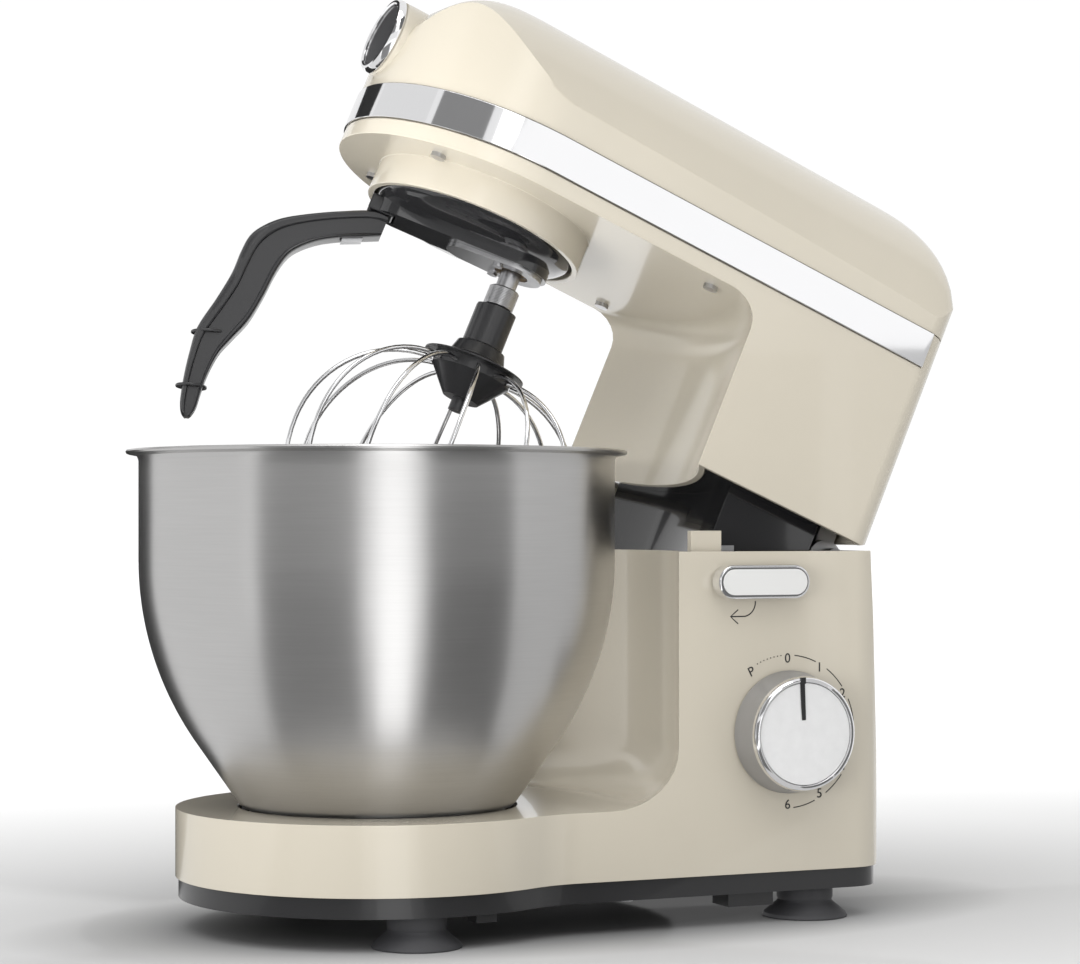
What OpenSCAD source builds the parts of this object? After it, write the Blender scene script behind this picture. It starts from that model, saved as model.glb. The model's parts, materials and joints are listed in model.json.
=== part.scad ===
// Tilt-head stand mixer with a steel bowl, a balloon whisk and a scraper arm.
// The bowl's axis is at the front of the base and the column stands behind it.
// Millimetres, +Z up, +X to the rear, -Y the side with the controls.
// The head is drawn closed and then turned up about the hinge pin.

/* [Base] */
// Radius of the base's round nose, under the bowl
base_nose_r = 95; // [90:0.5:100]
// Width of the base and column
base_w = 156; // [140:1:172]
// Rear end of the base, behind the bowl's axis
base_rear = 235; // [228:1:250]
// Rear end of the column at its top
column_rear = 224.5; // [218:1:228]
// Height of the base's top face above the floor
base_top = 56.5; // [50:0.5:62]
// Height of the column's top above the floor
column_top = 176; // [168:1:186]
// Radius of the hollow in the column's front, about the bowl's axis
recess_r = 143; // [136:1:148]
// Fillet between the column's front and the base's top
recess_fillet = 28; // [10:1:40]
// Radius of the waist between the nose and the column
waist_r = 60; // [40:1:90]
// Wall of the plastic shells
wall = 3; // [2:0.5:4]
// Height of the pan's underside above the floor
pan_z = 15; // [12:0.5:18]
// Height of the dark pan's side
pan_h = 9.4; // [7:0.1:11]
// Radius of a suction foot
foot_r = 20.5; // [15:0.5:24]

/* [Bowl] */
// Outer radius of the bowl's straight upper wall
bowl_r = 112; // [104:0.5:115]
// Outer radius of the bowl's lip
lip_r = 118; // [109:0.5:123]
// Height of the rim above the floor
rim_z = 223.5; // [212:0.5:228]
// Outer radius of the bowl's flat bottom
bowl_bottom_r = 65; // [58:0.5:72]
// Sheet of the bowl
bowl_t = 0.8; // [0.6:0.1:1.5]

/* [Head] */
// How far the head stands open, in degrees
head_open = 23.5; // [0:0.5:24]
// Radius of the head's nose
head_nose_r = 75; // [72:0.5:80]
// Width of the head at its rear
head_w = 154; // [146:1:158]
// Rear end of the head
head_rear = 222.5; // [218:0.5:228]
// Underside of the head, closed
head_z0 = 264; // [258:1:266]
// Lower edge of the trim band, closed
band_z0 = 272; // [269:0.5:274]
// Height of the trim band
band_h = 18; // [12:0.5:22]
// Top of the head, closed
head_top = 354; // [348:0.5:364]
// Rounding of the head's top along its length, from side to side
head_crown = 72.5; // [50:0.5:75]
// Rounding of the head's top at the rear
head_round = 46; // [20:1:50]
// Radius of the collar under the nose
collar_r = 54; // [52.5:0.5:58]
// Lower end of the collar, closed
collar_z0 = 249; // [246:0.5:251]
// Width of the dark skirt that closes the neck from below
skirt_w = 124; // [116:1:128]

/* [Drive] */
// Offset of the whisk's shaft from the planetary axis
orbit_r = 24.5; // [24.5:0.1:24.5]
// Teeth of the fixed ring gear
ring_teeth = 47; // [47:1:47]
// Teeth of the planet pinion
planet_teeth = 12; // [12:1:12]
// Teeth of the carrier's gear
carrier_teeth = 48; // [48:1:48]
// Teeth of the layshaft's pinion
layshaft_teeth = 14; // [14:1:14]
// Radius of the large belt pulley
pulley_r = 36; // [30:1:38]
// Radius of the motor's pulley
motor_pulley_r = 9; // [8:0.5:12]
// Radius of the motor's stator
stator_r = 34; // [28:1:34]

/* [Tools] */
// Largest radius of the whisk's balloon
whisk_r = 69; // [55:1:70]
// Diameter of a whisk wire
wire_d = 2.2; // [1.6:0.1:2.6]
// Number of wire loops
wire_loops = 6; // [4:1:7]
// Thickness of the scraper arm across its sweep
arm_t = 15; // [10:0.5:18]
// Gap between the scraper arm and the bowl's wall
arm_gap = 3.5; // [2:0.5:6]

/* [Controls] */
// Radius of the speed knob at the panel
knob_r = 29; // [22:0.5:32]
// Height of the speed knob above the panel
knob_h = 18; // [12:0.5:22]
// Height of the knob's axis above the floor
knob_z = 90.6; // [86:0.2:98]
// Length of the release lever
lever_l = 48.5; // [40:0.5:52]
// Height of the release lever
lever_h = 16; // [12:0.5:18]

/* [Hidden] */
$fn = 64;
fit = 0.02;            // radial clearance of a part fixed on a shaft
run = 0.05;            // radial clearance of a shaft that turns
gap = 0.4;             // clearance between parts that pass each other
half = base_w / 2;
base_corner = 20;      // rounding of the base's rear corners
pan_top = pan_z + pan_h;
pan_floor = pan_z + 3;
head_half = head_w / 2;
band_z1 = band_z0 + band_h;
band_t = 1.2;
band_end = 212;        // where the band's two ends stop
hinge_x = 214;
hinge_z = column_top - 4;
neck_z0 = column_top + 4;
pin_r = 5;
knob_x = 177.4;
lever_x0 = 136.3;
lever_z = 161.7;
post_x = 129;
lever_pivot_x = lever_x0 + lever_h / 2;
// half of the front-to-rear box, from the lip to the head's raised rear corner
corner_dx = head_rear - head_round - hinge_x;
corner_dz = head_top - head_round - hinge_z;
open_rear = hinge_x + corner_dx * cos(head_open) + corner_dz * sin(head_open) + head_round;
shift_x = -(max(open_rear, base_rear) - lip_r) / 2;
// gears
ring_m = 2 * orbit_r / (ring_teeth - planet_teeth);
planet_m = ring_m;
spur_m = 1.5;
lay_x = spur_m * (carrier_teeth + layshaft_teeth) / 2;
motor_x = 181;
bolt_r = stator_r - 4.5;   // where the motor's two long bolts stand
phase = -17;           // rest angle of the whisk's shaft about the planetary axis
frame_z = 276;
frame_t = 6;
gear_z = 298;
gear_h = 10;
pulley_z = 313;
pulley_h = 11;
carrier_shaft_r = 8;
lay_shaft_r = 5;
rotor_shaft_r = 4;
shaft_r = 5;
block_z = 240;
whisk_top_z = 219;
disc_z = 187;
disc_r = 25;
groove_r = 19.5;        // bottom of the groove that holds the wires
wire_r0 = groove_r + 0.3;
balloon_z = collar_z0 - 115;
balloon_low = collar_z0 - 183;
cap_z = 315;
cap_r = 19;
cream = [0.84, 0.8, 0.73];
dark = [0.12, 0.12, 0.12];
steel = [0.75, 0.75, 0.76];
chrome = [0.85, 0.85, 0.87];

// ---- frames -------------------------------------------------------------

module stand() { translate([shift_x, 0, 0]) children(); }

module raised() {
    stand() translate([hinge_x, 0, hinge_z]) rotate([0, head_open, 0])
        translate([-hinge_x, 0, -hinge_z]) children();
}

// x outwards along the arm's or the shaft's side, about the planetary axis
module planetary() { raised() rotate([0, 0, phase]) children(); }

module on_whisk() { planetary() translate([orbit_r, 0, 0]) children(); }

// z outwards from the control side of the column
module on_panel(x, z) {
    stand() translate([x, -half, z]) rotate([90, 0, 0]) children();
}

// ---- outlines -----------------------------------------------------------

function arc(cx, cy, r, a0, a1, n = 12) =
    [for (i = [0:n]) let (a = a0 + (a1 - a0) * i / n) [cx + r * cos(a), cy + r * sin(a)]];

function both_sides(upper) =
    concat(upper, [for (i = [len(upper) - 1:-1:1]) [upper[i][0], -upper[i][1]]]);

// nose circle, concave waist and straight sides, moved inwards by d
function base_outline(d, rear = base_rear) =
    let (r = base_nose_r - d, h = half - d, w = waist_r + d, yc = h + w,
         xc = sqrt(pow(r + w, 2) - yc * yc), ta = atan2(yc, xc), rc = base_corner - d)
    both_sides(concat(arc(0, 0, r, 180, ta, 24), arc(xc, yc, w, ta + 180, 270, 6),
                      arc(rear - d - rc, h - rc, rc, 90, 0, 5)));

function head_outline(d) =
    let (r = head_nose_r - d, h = head_half - d, rc = 13 - min(d, 8))
    both_sides(concat(arc(0, 0, r, 180, 92, 20), arc(head_rear - d - rc, h - rc, rc, 90, 0, 5)));

// side view of the head above the band: dome, flat top and rounded rear corner
function head_side(d) =
    let (r = 62 - d, rc = head_round - d, z = head_top - d)
    concat([[-head_nose_r + d, band_z0 - 20]],
           arc(-head_nose_r + 62, z - r, r, 180, 90, 14),
           arc(head_rear - d - rc, z - rc, rc, 90, 0, 8),
           [[head_rear - d, band_z0 - 20]]);

function head_cross(d) =
    let (rc = head_crown - d, h = head_half + 2 - d, z = head_top - d)
    both_sides_z(concat(arc(h - rc, z - rc, rc, 90, 0, 8), [[h, band_z0 - 20]]));

function both_sides_z(right) =
    concat([for (i = [len(right) - 1:-1:0]) [-right[i][0], right[i][1]]], right);

module side_extrude(points, w) {
    translate([0, w / 2, 0]) rotate([90, 0, 0]) linear_extrude(w) polygon(points);
}

module end_extrude(points, x0, x1) {
    translate([x0, 0, 0]) rotate([90, 0, 90]) linear_extrude(x1 - x0) polygon(points);
}

module slab(points, z0, z1) {
    translate([0, 0, z0]) linear_extrude(z1 - z0) polygon(points);
}

module pipe(r, hole_r, h) {
    difference() {
        cylinder(r = r, h = h);
        translate([0, 0, -1]) cylinder(r = hole_r, h = h + 2);
    }
}

module screw(d, l, head_d, head_h) {
    cylinder(d = head_d, h = head_h);
    translate([0, 0, -l]) cylinder(d = d, h = l + 0.5);
}

// ---- involute gears -----------------------------------------------------

function involute(rb, t) = [rb * (cos(t) + t * PI / 180 * sin(t)), rb * (sin(t) - t * PI / 180 * cos(t))];

function turn(p, a) = [p[0] * cos(a) - p[1] * sin(a), p[0] * sin(a) + p[1] * cos(a)];

// slack widens a tooth (positive) or narrows it (negative), as an arc length at the pitch circle
function gear_points(z, m, slack, add = 1, ded = 1.2) =
    let (pa = 22, rp = z * m / 2, rb = rp * cos(pa), ra = rp + add * m, rr = rp - ded * m,
         tp = sqrt(pow(rp / rb, 2) - 1) * 180 / PI, ip = tp - pa,
         ta = sqrt(pow(ra / rb, 2) - 1) * 180 / PI,
         t0 = rr > rb ? sqrt(pow(rr / rb, 2) - 1) * 180 / PI : 0,
         half_tooth = 90 / z + slack / 2 / rp * 180 / PI,
         flank = concat(rr < rb ? [[rr, 0]] : [], [for (i = [0:4]) involute(rb, t0 + (ta - t0) * i / 4)]))
    [for (k = [0:z - 1])
        let (c = k * 360 / z)
        each concat([for (p = flank) turn(p, c - half_tooth - ip)],
                    [for (i = [len(flank) - 1:-1:0]) turn([flank[i][0], -flank[i][1]], c + half_tooth + ip)])];

module gear(z, m, h, slack, add = 1, ded = 1.2) {
    linear_extrude(h) polygon(gear_points(z, m, slack, add, ded));
}

// ---- base ---------------------------------------------------------------

foot_spots = [[-10, 75], [-10, -75], [198, 58], [198, -58]];
boss_spots = [[-60, 40], [-60, -40], [100, 62], [100, -62]];
seat_screw_spots = [for (a = [60, 180, 300]) [44 * cos(a), 44 * sin(a)]];

module recess(d) {
    // the space in front of the column, with a fillet to the base's top
    r = recess_r + d;
    f = recess_fillet;
    z = base_top - d;
    rotate_extrude($fn = 128)
        polygon(concat([[0, z]], arc(r - f, z + f, f, 270, 360, 8),
                       [[r, column_top + 20], [0, column_top + 20]]));
}

module column_side(d) {
    // side view of the base with the column's leaning rear
    side_extrude([[-200, 0], [base_rear - d, 0], [base_rear - d, pan_top],
                  [column_rear - d, column_top + 1], [-200, column_top + 1]], 300);
}

module base_body(d, z0, z1) {
    difference() {
        intersection() {
            slab(base_outline(d), z0, z1);
            column_side(d);
        }
        recess(d);
    }
}

module base_shell() color(cream) stand() {
    difference() {
        base_body(0, pan_top, column_top);
        base_body(wall, pan_top - 1, column_top + 1);
        // bowl seat
        translate([0, 0, base_top - 8]) cylinder(r = bowl_bottom_r + 1, h = 20);
        // bores for the knob's and the lever's spindles
        translate([knob_x, -half + 15, knob_z]) rotate([90, 0, 0]) cylinder(r = 4, h = 30);
        translate([lever_pivot_x, -half + 15, lever_z]) rotate([90, 0, 0]) cylinder(r = 6, h = 30);
        // cord inlet
        translate([200, 0, 45]) rotate([0, 90, 0]) cylinder(r = 7, h = 60);
    }
    // floor of the bowl seat
    difference() {
        translate([0, 0, base_top - 8 - wall]) cylinder(r = bowl_bottom_r + 1 + wall, h = wall);
        for (p = seat_screw_spots) translate([p[0], p[1], 0]) cylinder(r = 1.55, h = 100, $fn = 24);
    }
    translate([0, 0, base_top - 8 - wall]) pipe(bowl_bottom_r + 1 + wall, bowl_bottom_r + 1, 8 + wall - 1);
    // bosses for the pan's screws
    for (p = boss_spots) translate([p[0], p[1], pan_floor])
        pipe(5, 1.55, base_top - wall - pan_floor + 0.5);
    // post at the column's front corner, which the neck comes down on
    translate([post_x, -half + 5.5, column_top - 5.5]) cube([16, 3.8, 15.2]);
    translate([post_x, -half + 1, column_top - 5.5]) cube([16, 5, 4]);
}

module bottom_pan() color(dark) stand() {
    difference() {
        slab(base_outline(1.5), pan_z, pan_top);
        slab(base_outline(4.5), pan_floor, pan_top + 1);
        for (p = boss_spots) translate([p[0], p[1], 0]) cylinder(r = 1.7, h = 60, $fn = 24);
        for (p = foot_spots) translate([p[0], p[1], 0]) cylinder(r = 5.02, h = 60);
    }
    // stops beside the feet
    for (s = [-1, 1]) {
        translate([150, s * 62 - 8, pan_z - 7]) cube([24, 16, 7.5]);
        translate([16, s * 76 - 6, pan_z - 5]) cube([10, 10, 5.5]);
    }
    // posts under the control board
    for (x = [110, 175], y = [-28, 28]) translate([x, y, pan_floor - 0.5]) cylinder(r = 4, h = 8.5);
}

module suction_feet() color(dark) stand() {
    for (p = foot_spots) translate([p[0], p[1], 0]) rotate_extrude()
        polygon([[0, 2.5], [foot_r - 5, 1.2], [foot_r - 1, 0], [foot_r, 0], [foot_r, 1.5],
                 [foot_r - 5, 6], [13.5, 7.5], [13.5, pan_z - 0.1], [5, pan_z - 0.1],
                 [5, pan_floor], [0, pan_floor]]);
}

module bowl_seat() color(steel) stand() translate([0, 0, base_top - 8]) {
    difference() {
        cylinder(r = bowl_bottom_r + 1 - 0.3, h = 2);
        for (p = seat_screw_spots) translate([p[0], p[1], -1]) cylinder(r = 1.55, h = 5, $fn = 24);
    }
    // three bayonet catches, each over a lug of the bowl's foot
    for (a = [0, 120, 240]) rotate([0, 0, a]) rotate_extrude(angle = 30)
        polygon([[bowl_bottom_r - 2.2, 1.8], [bowl_bottom_r + 0.5, 1.8], [bowl_bottom_r + 0.5, 7],
                 [bowl_bottom_r - 3.2, 7], [bowl_bottom_r - 3.2, 5.6], [bowl_bottom_r - 2.2, 5.6]]);
}

module base_screws() color(steel) stand() {
    for (p = boss_spots) translate([p[0], p[1], pan_z]) mirror([0, 0, 1])
        screw(3, 20, 7, 2);
    for (p = seat_screw_spots) translate([p[0], p[1], base_top - 6]) screw(3, 8, 7, 1.8);
}

module hinge_brackets() color(steel) stand() {
    for (s = [-1, 1]) difference() {
        union() {
            translate([196, s * 52.5 - 2.5, pan_floor]) cube([24, 5, hinge_z - pan_floor]);
            translate([hinge_x - 3, s * 52.5 + 2.5, hinge_z]) rotate([90, 0, 0]) cylinder(r = 9, h = 5);
        }
        translate([hinge_x, 100, hinge_z]) rotate([90, 0, 0]) cylinder(r = pin_r + fit, h = 200);
    }
}

module hinge_pin() color(steel) stand() translate([hinge_x, 60, hinge_z]) rotate([90, 0, 0])
    cylinder(r = pin_r, h = 120);

module coil_rings(r, wire, pitch, turns) {
    for (i = [0:turns - 1]) translate([0, 0, i * pitch])
        rotate_extrude($fn = 48) translate([r, 0]) circle(d = wire, $fn = 16);
}

module head_spring() color(steel) stand() translate([hinge_x, 14, hinge_z]) rotate([90, 0, 0])
    coil_rings(pin_r + 1.6, 2.4, 2.1, 14);

module control_board() color([0.1, 0.4, 0.2]) stand() {
    translate([102, -36, pan_floor + 8]) cube([82, 72, 1.6]);
    translate([110, -20, pan_floor + 9.5]) cube([20, 14, 22]);
    translate([145, 0, pan_floor + 9.5]) cube([26, 20, 14]);
}

module speed_switch() color(dark) stand() translate([knob_x, -half + wall, knob_z]) rotate([-90, 0, 0])
    difference() {
        union() {
            cylinder(r = 6, h = 8);
            translate([-13, -13, 6]) cube([26, 26, 14]);
            translate([-13, -13, 0]) cube([4, 26, 8]);
            translate([9, -13, 0]) cube([4, 26, 8]);
        }
        translate([0, 0, -1]) cylinder(r = 3 + run, h = 16);
    }

module cord_inlet() color(dark) stand() translate([0, 0, 45]) rotate([0, 90, 0]) {
    difference() {
        union() {
            translate([0, 0, 226]) cylinder(r = 6.9, h = 11);
            translate([0, 0, 226]) cylinder(r = 9.5, h = 3.5);
        }
        translate([0, 0, 220]) cylinder(r = 4, h = 30);
    }
}

module lever_bush() color(dark) on_panel(lever_pivot_x, lever_z)
    translate([0, 0, -wall - 4]) difference() {
        union() {
            cylinder(r = 5.9, h = wall + 4.3);
            cylinder(r = 8, h = 3.8);
        }
        translate([0, 0, -1]) cylinder(r = 3.5 + run, h = 20);
    }

module lever_spring() color(steel) on_panel(lever_pivot_x, lever_z)
    translate([0, 0, -wall - 4 - 2.7]) coil_rings(5.2, 1.2, 1, 3);

// ---- bowl ---------------------------------------------------------------

bowl_arc_r = 150;
bowl_arc_z = rim_z - 51.5;
bowl_z = base_top - 0.5;
bowl_arc_a = 34;       // where the arc gives way to a straight cone

function bowl_wall(d) = concat([[bowl_r - d, rim_z - 4]],
    arc(bowl_r - bowl_arc_r, bowl_arc_z, bowl_arc_r - d, 0, -bowl_arc_a, 12),
    [[bowl_bottom_r - d, bowl_z + d]]);

// inner radius of the bowl at a height on its arc
function bowl_inner(z) = bowl_r - bowl_arc_r
    + sqrt(pow(bowl_arc_r - bowl_t, 2) - pow(min(z, bowl_arc_z) - bowl_arc_z, 2));

module bowl() color(steel) stand() {
    outer = bowl_wall(0);
    inner = bowl_wall(bowl_t);
    rotate_extrude($fn = 128) polygon(concat(
        [[0, bowl_z]], [for (i = [len(outer) - 1:-1:0]) outer[i]],
        [[lip_r - 1, rim_z - 2.4], [lip_r, rim_z - 1.6], [lip_r, rim_z - 0.6],
         [lip_r - 0.7, rim_z], [bowl_r + 0.5, rim_z - 0.4], [bowl_r - bowl_t, rim_z - 3]],
        [for (i = [1:len(inner) - 1]) inner[i]], [[0, bowl_z + bowl_t]]));
}

module bowl_foot() color(steel) stand() {
    translate([0, 0, base_top - 5.6]) pipe(bowl_bottom_r - 5, bowl_bottom_r - 6, bowl_z - base_top + 5.6 - 0.02);
    for (a = [2, 122, 242]) rotate([0, 0, a]) rotate_extrude(angle = 26)
        translate([bowl_bottom_r - 5.5, base_top - 5.6]) square([2.6, 1.8]);
}

// ---- head ---------------------------------------------------------------

shell_spots = [[-44, 42], [-44, -42], [100, 60], [100, -60]];

module head_body(d, z0) {
    intersection() {
        slab(head_outline(d), z0, head_top + 1);
        side_extrude(head_side(d), 200);
        end_extrude(head_cross(d), -100, 300);
    }
}

module head_top_shell() color(cream) raised() difference() {
    union() {
        head_body(0, band_z1);
        // boss round the front hub
        translate([-head_nose_r - 1, 0, cap_z]) rotate([0, 90, 0]) cylinder(r = cap_r, h = 30);
    }
    intersection() {
        head_body(wall, band_z1 - 1);
        translate([-head_nose_r + 14, -150, 0]) cube([400, 300, 500]);
    }
    intersection() {
        head_body(wall, band_z1 - 1);
        translate([-head_nose_r, -150, 0]) cube([15, 300, cap_z - cap_r - wall]);
    }
    // socket of the front hub
    translate([-head_nose_r - 2, 0, cap_z]) rotate([0, 90, 0]) cylinder(r = 12, h = 60);
}

module trim_band() color(chrome) raised() difference() {
    slab(head_outline(0), band_z0, band_z1 - 0.2);
    slab(head_outline(band_t), band_z0 - 1, band_z1 + 1);
    translate([band_end, -150, band_z0 - 5]) cube([50, 300, 50]);
}

module neck_space(d) {
    // the round hollow of the neck's front, below the head's underside
    f = 14;
    r = recess_r - 1 + d;
    z = head_z0 + d;
    rotate_extrude($fn = 128) polygon(concat([[0, column_top - 60], [r, column_top - 60]],
        arc(r - f, z - f, f, 0, 90, 6), [[0, z]]));
}

module rear_relief() {
    // slope that lets the neck's rear edge pass the column when the head opens
    side_extrude([[hinge_x + 2, neck_z0 - 30], [hinge_x + 2, neck_z0],
                  [hinge_x + 42, neck_z0 + 40 * tan(24.5)], [hinge_x + 42, neck_z0 - 30]], 300);
}

module head_lower_shell() color(cream) raised() {
    difference() {
        union() {
            difference() {
                slab(head_outline(0), neck_z0, band_z1 - 0.2);
                slab(head_outline(wall), neck_z0 - 1, band_z1 + 1);
            }
            // underside and neck front
            intersection() {
                slab(head_outline(1), neck_z0, head_z0 + wall);
                neck_space(wall);
            }
        }
        neck_space(0);
        rear_relief();
        // seat of the trim band
        difference() {
            translate([-100, -150, band_z0 - 0.1]) cube([band_end + 100.2, 300, band_h + 1]);
            slab(head_outline(band_t + 0.1), band_z0 - 2, band_z1 + 2);
        }
        translate([0, 0, collar_z0 - 5]) cylinder(r = collar_r - wall, h = 60);
        for (p = shell_spots) translate([p[0], p[1], 0]) cylinder(r = 1.7, h = 400, $fn = 24);
    }
    translate([0, 0, collar_z0]) pipe(collar_r, collar_r - wall, head_z0 - collar_z0 + 2);
    for (p = shell_spots) translate([p[0], p[1], head_z0 + wall - 0.5])
        pipe(5, 1.7, frame_z - head_z0 - wall + 0.5);
}

module skirt_side(d) {
    side_extrude([[recess_r - 40, neck_z0 + 6], [recess_r - 40, hinge_z - 56], [hinge_x - 90, hinge_z - 48],
                  [hinge_x - 16, hinge_z - 16], [hinge_x - 16, neck_z0 + 6]], skirt_w - 2 * d);
}

module neck_skirt() color(dark) raised() {
    difference() {
        skirt_side(0);
        translate([0, 0, -10]) cylinder(r = recess_r + 16, h = 300, $fn = 128);
        difference() {
            translate([0, 0, -10]) skirt_side(2);
            cylinder(r = recess_r + 18, h = 300, $fn = 128);
        }
        translate([0, 0, -1]) difference() {
            skirt_side(2);
            cylinder(r = recess_r + 18, h = 300, $fn = 128);
        }
    }
    // flange under the neck's edge
    difference() {
        intersection() {
            slab(head_outline(wall + 0.3), neck_z0 + 3, neck_z0 + 5.5);
            translate([0, -150, 0]) cube([hinge_x - 16, 300, 400]);
        }
        cylinder(r = recess_r + wall, h = 300, $fn = 128);
        difference() {
            translate([-10, -skirt_w / 2 + 1, 0]) cube([400, skirt_w - 2, 300]);
            cylinder(r = recess_r + 17, h = 300, $fn = 128);
        }
        // the post on the column passes here
        translate([post_x - 4, -half + 3, 0]) cube([24, 10, 300]);
    }
}

module head_frame() color(steel) raised() difference() {
    union() {
        slab(head_outline(8), frame_z, frame_z + frame_t);
        translate([0, 0, frame_z]) cylinder(r = 18, h = 20);
        translate([lay_x, 0, frame_z]) cylinder(r = 13, h = 16);
        for (s = [-1, 1]) {
            translate([hinge_x - 8, s * 46 - 3, hinge_z]) cube([10, 6, frame_z - hinge_z + 1]);
            translate([hinge_x, s * 46 + 3, hinge_z]) rotate([90, 0, 0]) cylinder(r = 7.2, h = 6);
        }
    }
    translate([hinge_x, 100, hinge_z]) rotate([90, 0, 0]) cylinder(r = pin_r + run, h = 200);
    translate([0, 0, frame_z - 1]) cylinder(r = 13 + fit, h = 30);
    translate([lay_x, 0, frame_z - 1]) cylinder(r = 9 + fit, h = 30);
    translate([motor_x, 0, frame_z - 1]) cylinder(r = stator_r + 1, h = 30);
    for (p = shell_spots) translate([p[0], p[1], 0]) cylinder(r = 1.55, h = 400, $fn = 24);
}

module head_screws() color(steel) raised() {
    for (p = shell_spots) translate([p[0], p[1], head_z0]) mirror([0, 0, 1]) screw(3, 17, 7, 2);
    for (s = [-1, 1]) translate([motor_x, s * bolt_r, frame_z + frame_t + 4]) screw(3.6, 78, 7, 2.5);
}

module ring_gear() color(steel) raised() translate([0, 0, frame_z - 12]) difference() {
    cylinder(r = 42, h = 12);
    translate([0, 0, -1]) rotate([0, 0, phase]) gear(ring_teeth, ring_m, 14, 0.45, 1.2, 0.95);
}

module carrier_bearings() color(chrome) raised() {
    for (z = [frame_z + 1, frame_z + 11]) translate([0, 0, z]) pipe(13, carrier_shaft_r + run, 7);
}

module motor_stator() color([0.5, 0.3, 0.2]) raised() translate([motor_x, 0, 222]) difference() {
    cylinder(r = stator_r, h = 46);
    translate([0, 0, -1]) cylinder(r = stator_r - 16.8, h = 50);
    for (s = [-1, 1]) translate([0, s * bolt_r, -1]) cylinder(r = 1.9, h = 50, $fn = 24);
}

module motor_brackets() color(steel) raised() {
    translate([motor_x, 0, 268]) difference() {
        union() {
            cylinder(r = stator_r, h = 14);
            translate([0, 0, 14]) cylinder(r = stator_r + 3, h = 4);
        }
        translate([0, 0, -1]) cylinder(r = stator_r - 8, h = 14);
        cylinder(r = 8 + fit, h = 30);
        for (s = [-1, 1]) translate([0, s * bolt_r, -1]) cylinder(r = 1.9, h = 50, $fn = 24);
    }
    translate([motor_x, 0, 210]) difference() {
        cylinder(r = stator_r, h = 12);
        translate([0, 0, 5]) cylinder(r = stator_r - 8, h = 14);
        translate([0, 0, -1]) cylinder(r = 8 + fit, h = 30);
        for (s = [-1, 1]) translate([0, s * bolt_r, -1]) cylinder(r = 1.9, h = 50, $fn = 24);
    }
}

module motor_bearings() color(chrome) raised() {
    for (z = [210, 281]) translate([motor_x, 0, z]) pipe(8, rotor_shaft_r + run, 5);
}

module belt_loop(d) {
    hull() {
        translate([lay_x, 0]) circle(r = pulley_r + 0.3 + d);
        translate([motor_x, 0]) circle(r = motor_pulley_r + 0.3 + d);
    }
}

module drive_belt() color(dark) raised() translate([0, 0, pulley_z + 1]) linear_extrude(pulley_h - 2)
    difference() {
        belt_loop(2);
        belt_loop(0);
    }

// ---- motor's rotor and layshaft -----------------------------------------

module rotor_core() color([0.4, 0.4, 0.42]) raised() translate([motor_x, 0, 223])
    pipe(stator_r - 17.5, rotor_shaft_r + fit, 44);

module rotor_shaft() color(steel) raised() translate([motor_x, 0, 192]) cylinder(r = rotor_shaft_r, h = 134);

module commutator() color([0.72, 0.45, 0.2]) raised() translate([motor_x, 0, 268.5]) pipe(11, rotor_shaft_r + fit, 11);

module cooling_fan() color(dark) raised() translate([motor_x, 0, 195]) {
    pipe(10, rotor_shaft_r + fit, 12);
    pipe(stator_r - 3, 9.5, 2);
    for (a = [0:40:320]) rotate([0, 0, a]) translate([9.5, -1, 1.5]) cube([stator_r - 13, 2, 9]);
}

module motor_pulley() color(steel) raised() translate([motor_x, 0, pulley_z])
    pipe(motor_pulley_r, rotor_shaft_r + fit, pulley_h);

module layshaft() color(steel) raised() translate([lay_x, 0, 0]) {
    translate([0, 0, frame_z + 1]) cylinder(r = lay_shaft_r, h = pulley_z + pulley_h - frame_z + 2);
    translate([0, 0, gear_z - 1]) rotate([0, 0, 180 + 180 / layshaft_teeth])
        gear(layshaft_teeth, spur_m, gear_h + 2, -0.25);
}

module layshaft_pulley() color(dark) raised() translate([lay_x, 0, pulley_z])
    pipe(pulley_r, lay_shaft_r + fit, pulley_h);

module layshaft_bearing() color(chrome) raised() translate([lay_x, 0, frame_z + 2])
    pipe(9, lay_shaft_r + run, 13);

// ---- planetary ----------------------------------------------------------

module planet_carrier() color(dark) planetary() difference() {
    union() {
        rotate_extrude($fn = 96) polygon([[0, 258], [0, 245], [20, 245], [48, 252], [50, 256], [50, 260],
                                          [47, 260], [45, 258]]);
        // long block under the dish
        translate([0, 0, block_z]) linear_extrude(14) hull() {
            translate([-35, 0]) circle(r = 13);
            translate([orbit_r, 0]) circle(r = 17);
        }
    }
    translate([0, 0, 250]) cylinder(r = carrier_shaft_r + fit, h = 20);
    translate([orbit_r, 0, block_z - 1]) cylinder(r = 8 + fit, h = 40);
    // socket of the scraper arm
    translate([-70, -arm_t / 2 - 0.1, block_z - 1]) cube([33, arm_t + 0.2, 9]);
    for (a = [-50, 50]) translate([orbit_r, 0, 0]) rotate([0, 0, a]) translate([-12.5, 0, block_z - 1])
        cylinder(r = 1.55, h = 9, $fn = 24);
}

module carrier_shaft() color(steel) planetary() translate([0, 0, 250])
    cylinder(r = carrier_shaft_r, h = gear_z + gear_h - 250 + 3);

module carrier_gear() color(steel) raised() translate([0, 0, gear_z]) difference() {
    gear(carrier_teeth, spur_m, gear_h, -0.25);
    translate([0, 0, -1]) cylinder(r = carrier_shaft_r + fit, h = 20);
}

module carrier_plate() color(steel) planetary() translate([0, 0, block_z - 2]) linear_extrude(2)
    difference() {
        hull() {
            translate([2, 0]) circle(r = 11);
            translate([orbit_r, 0]) circle(r = 15);
        }
        translate([orbit_r, 0]) circle(r = 8.5);
        for (a = [-50, 50]) translate([orbit_r, 0]) rotate(a) translate([-12.5, 0]) circle(r = 1.6, $fn = 24);
    }

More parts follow.
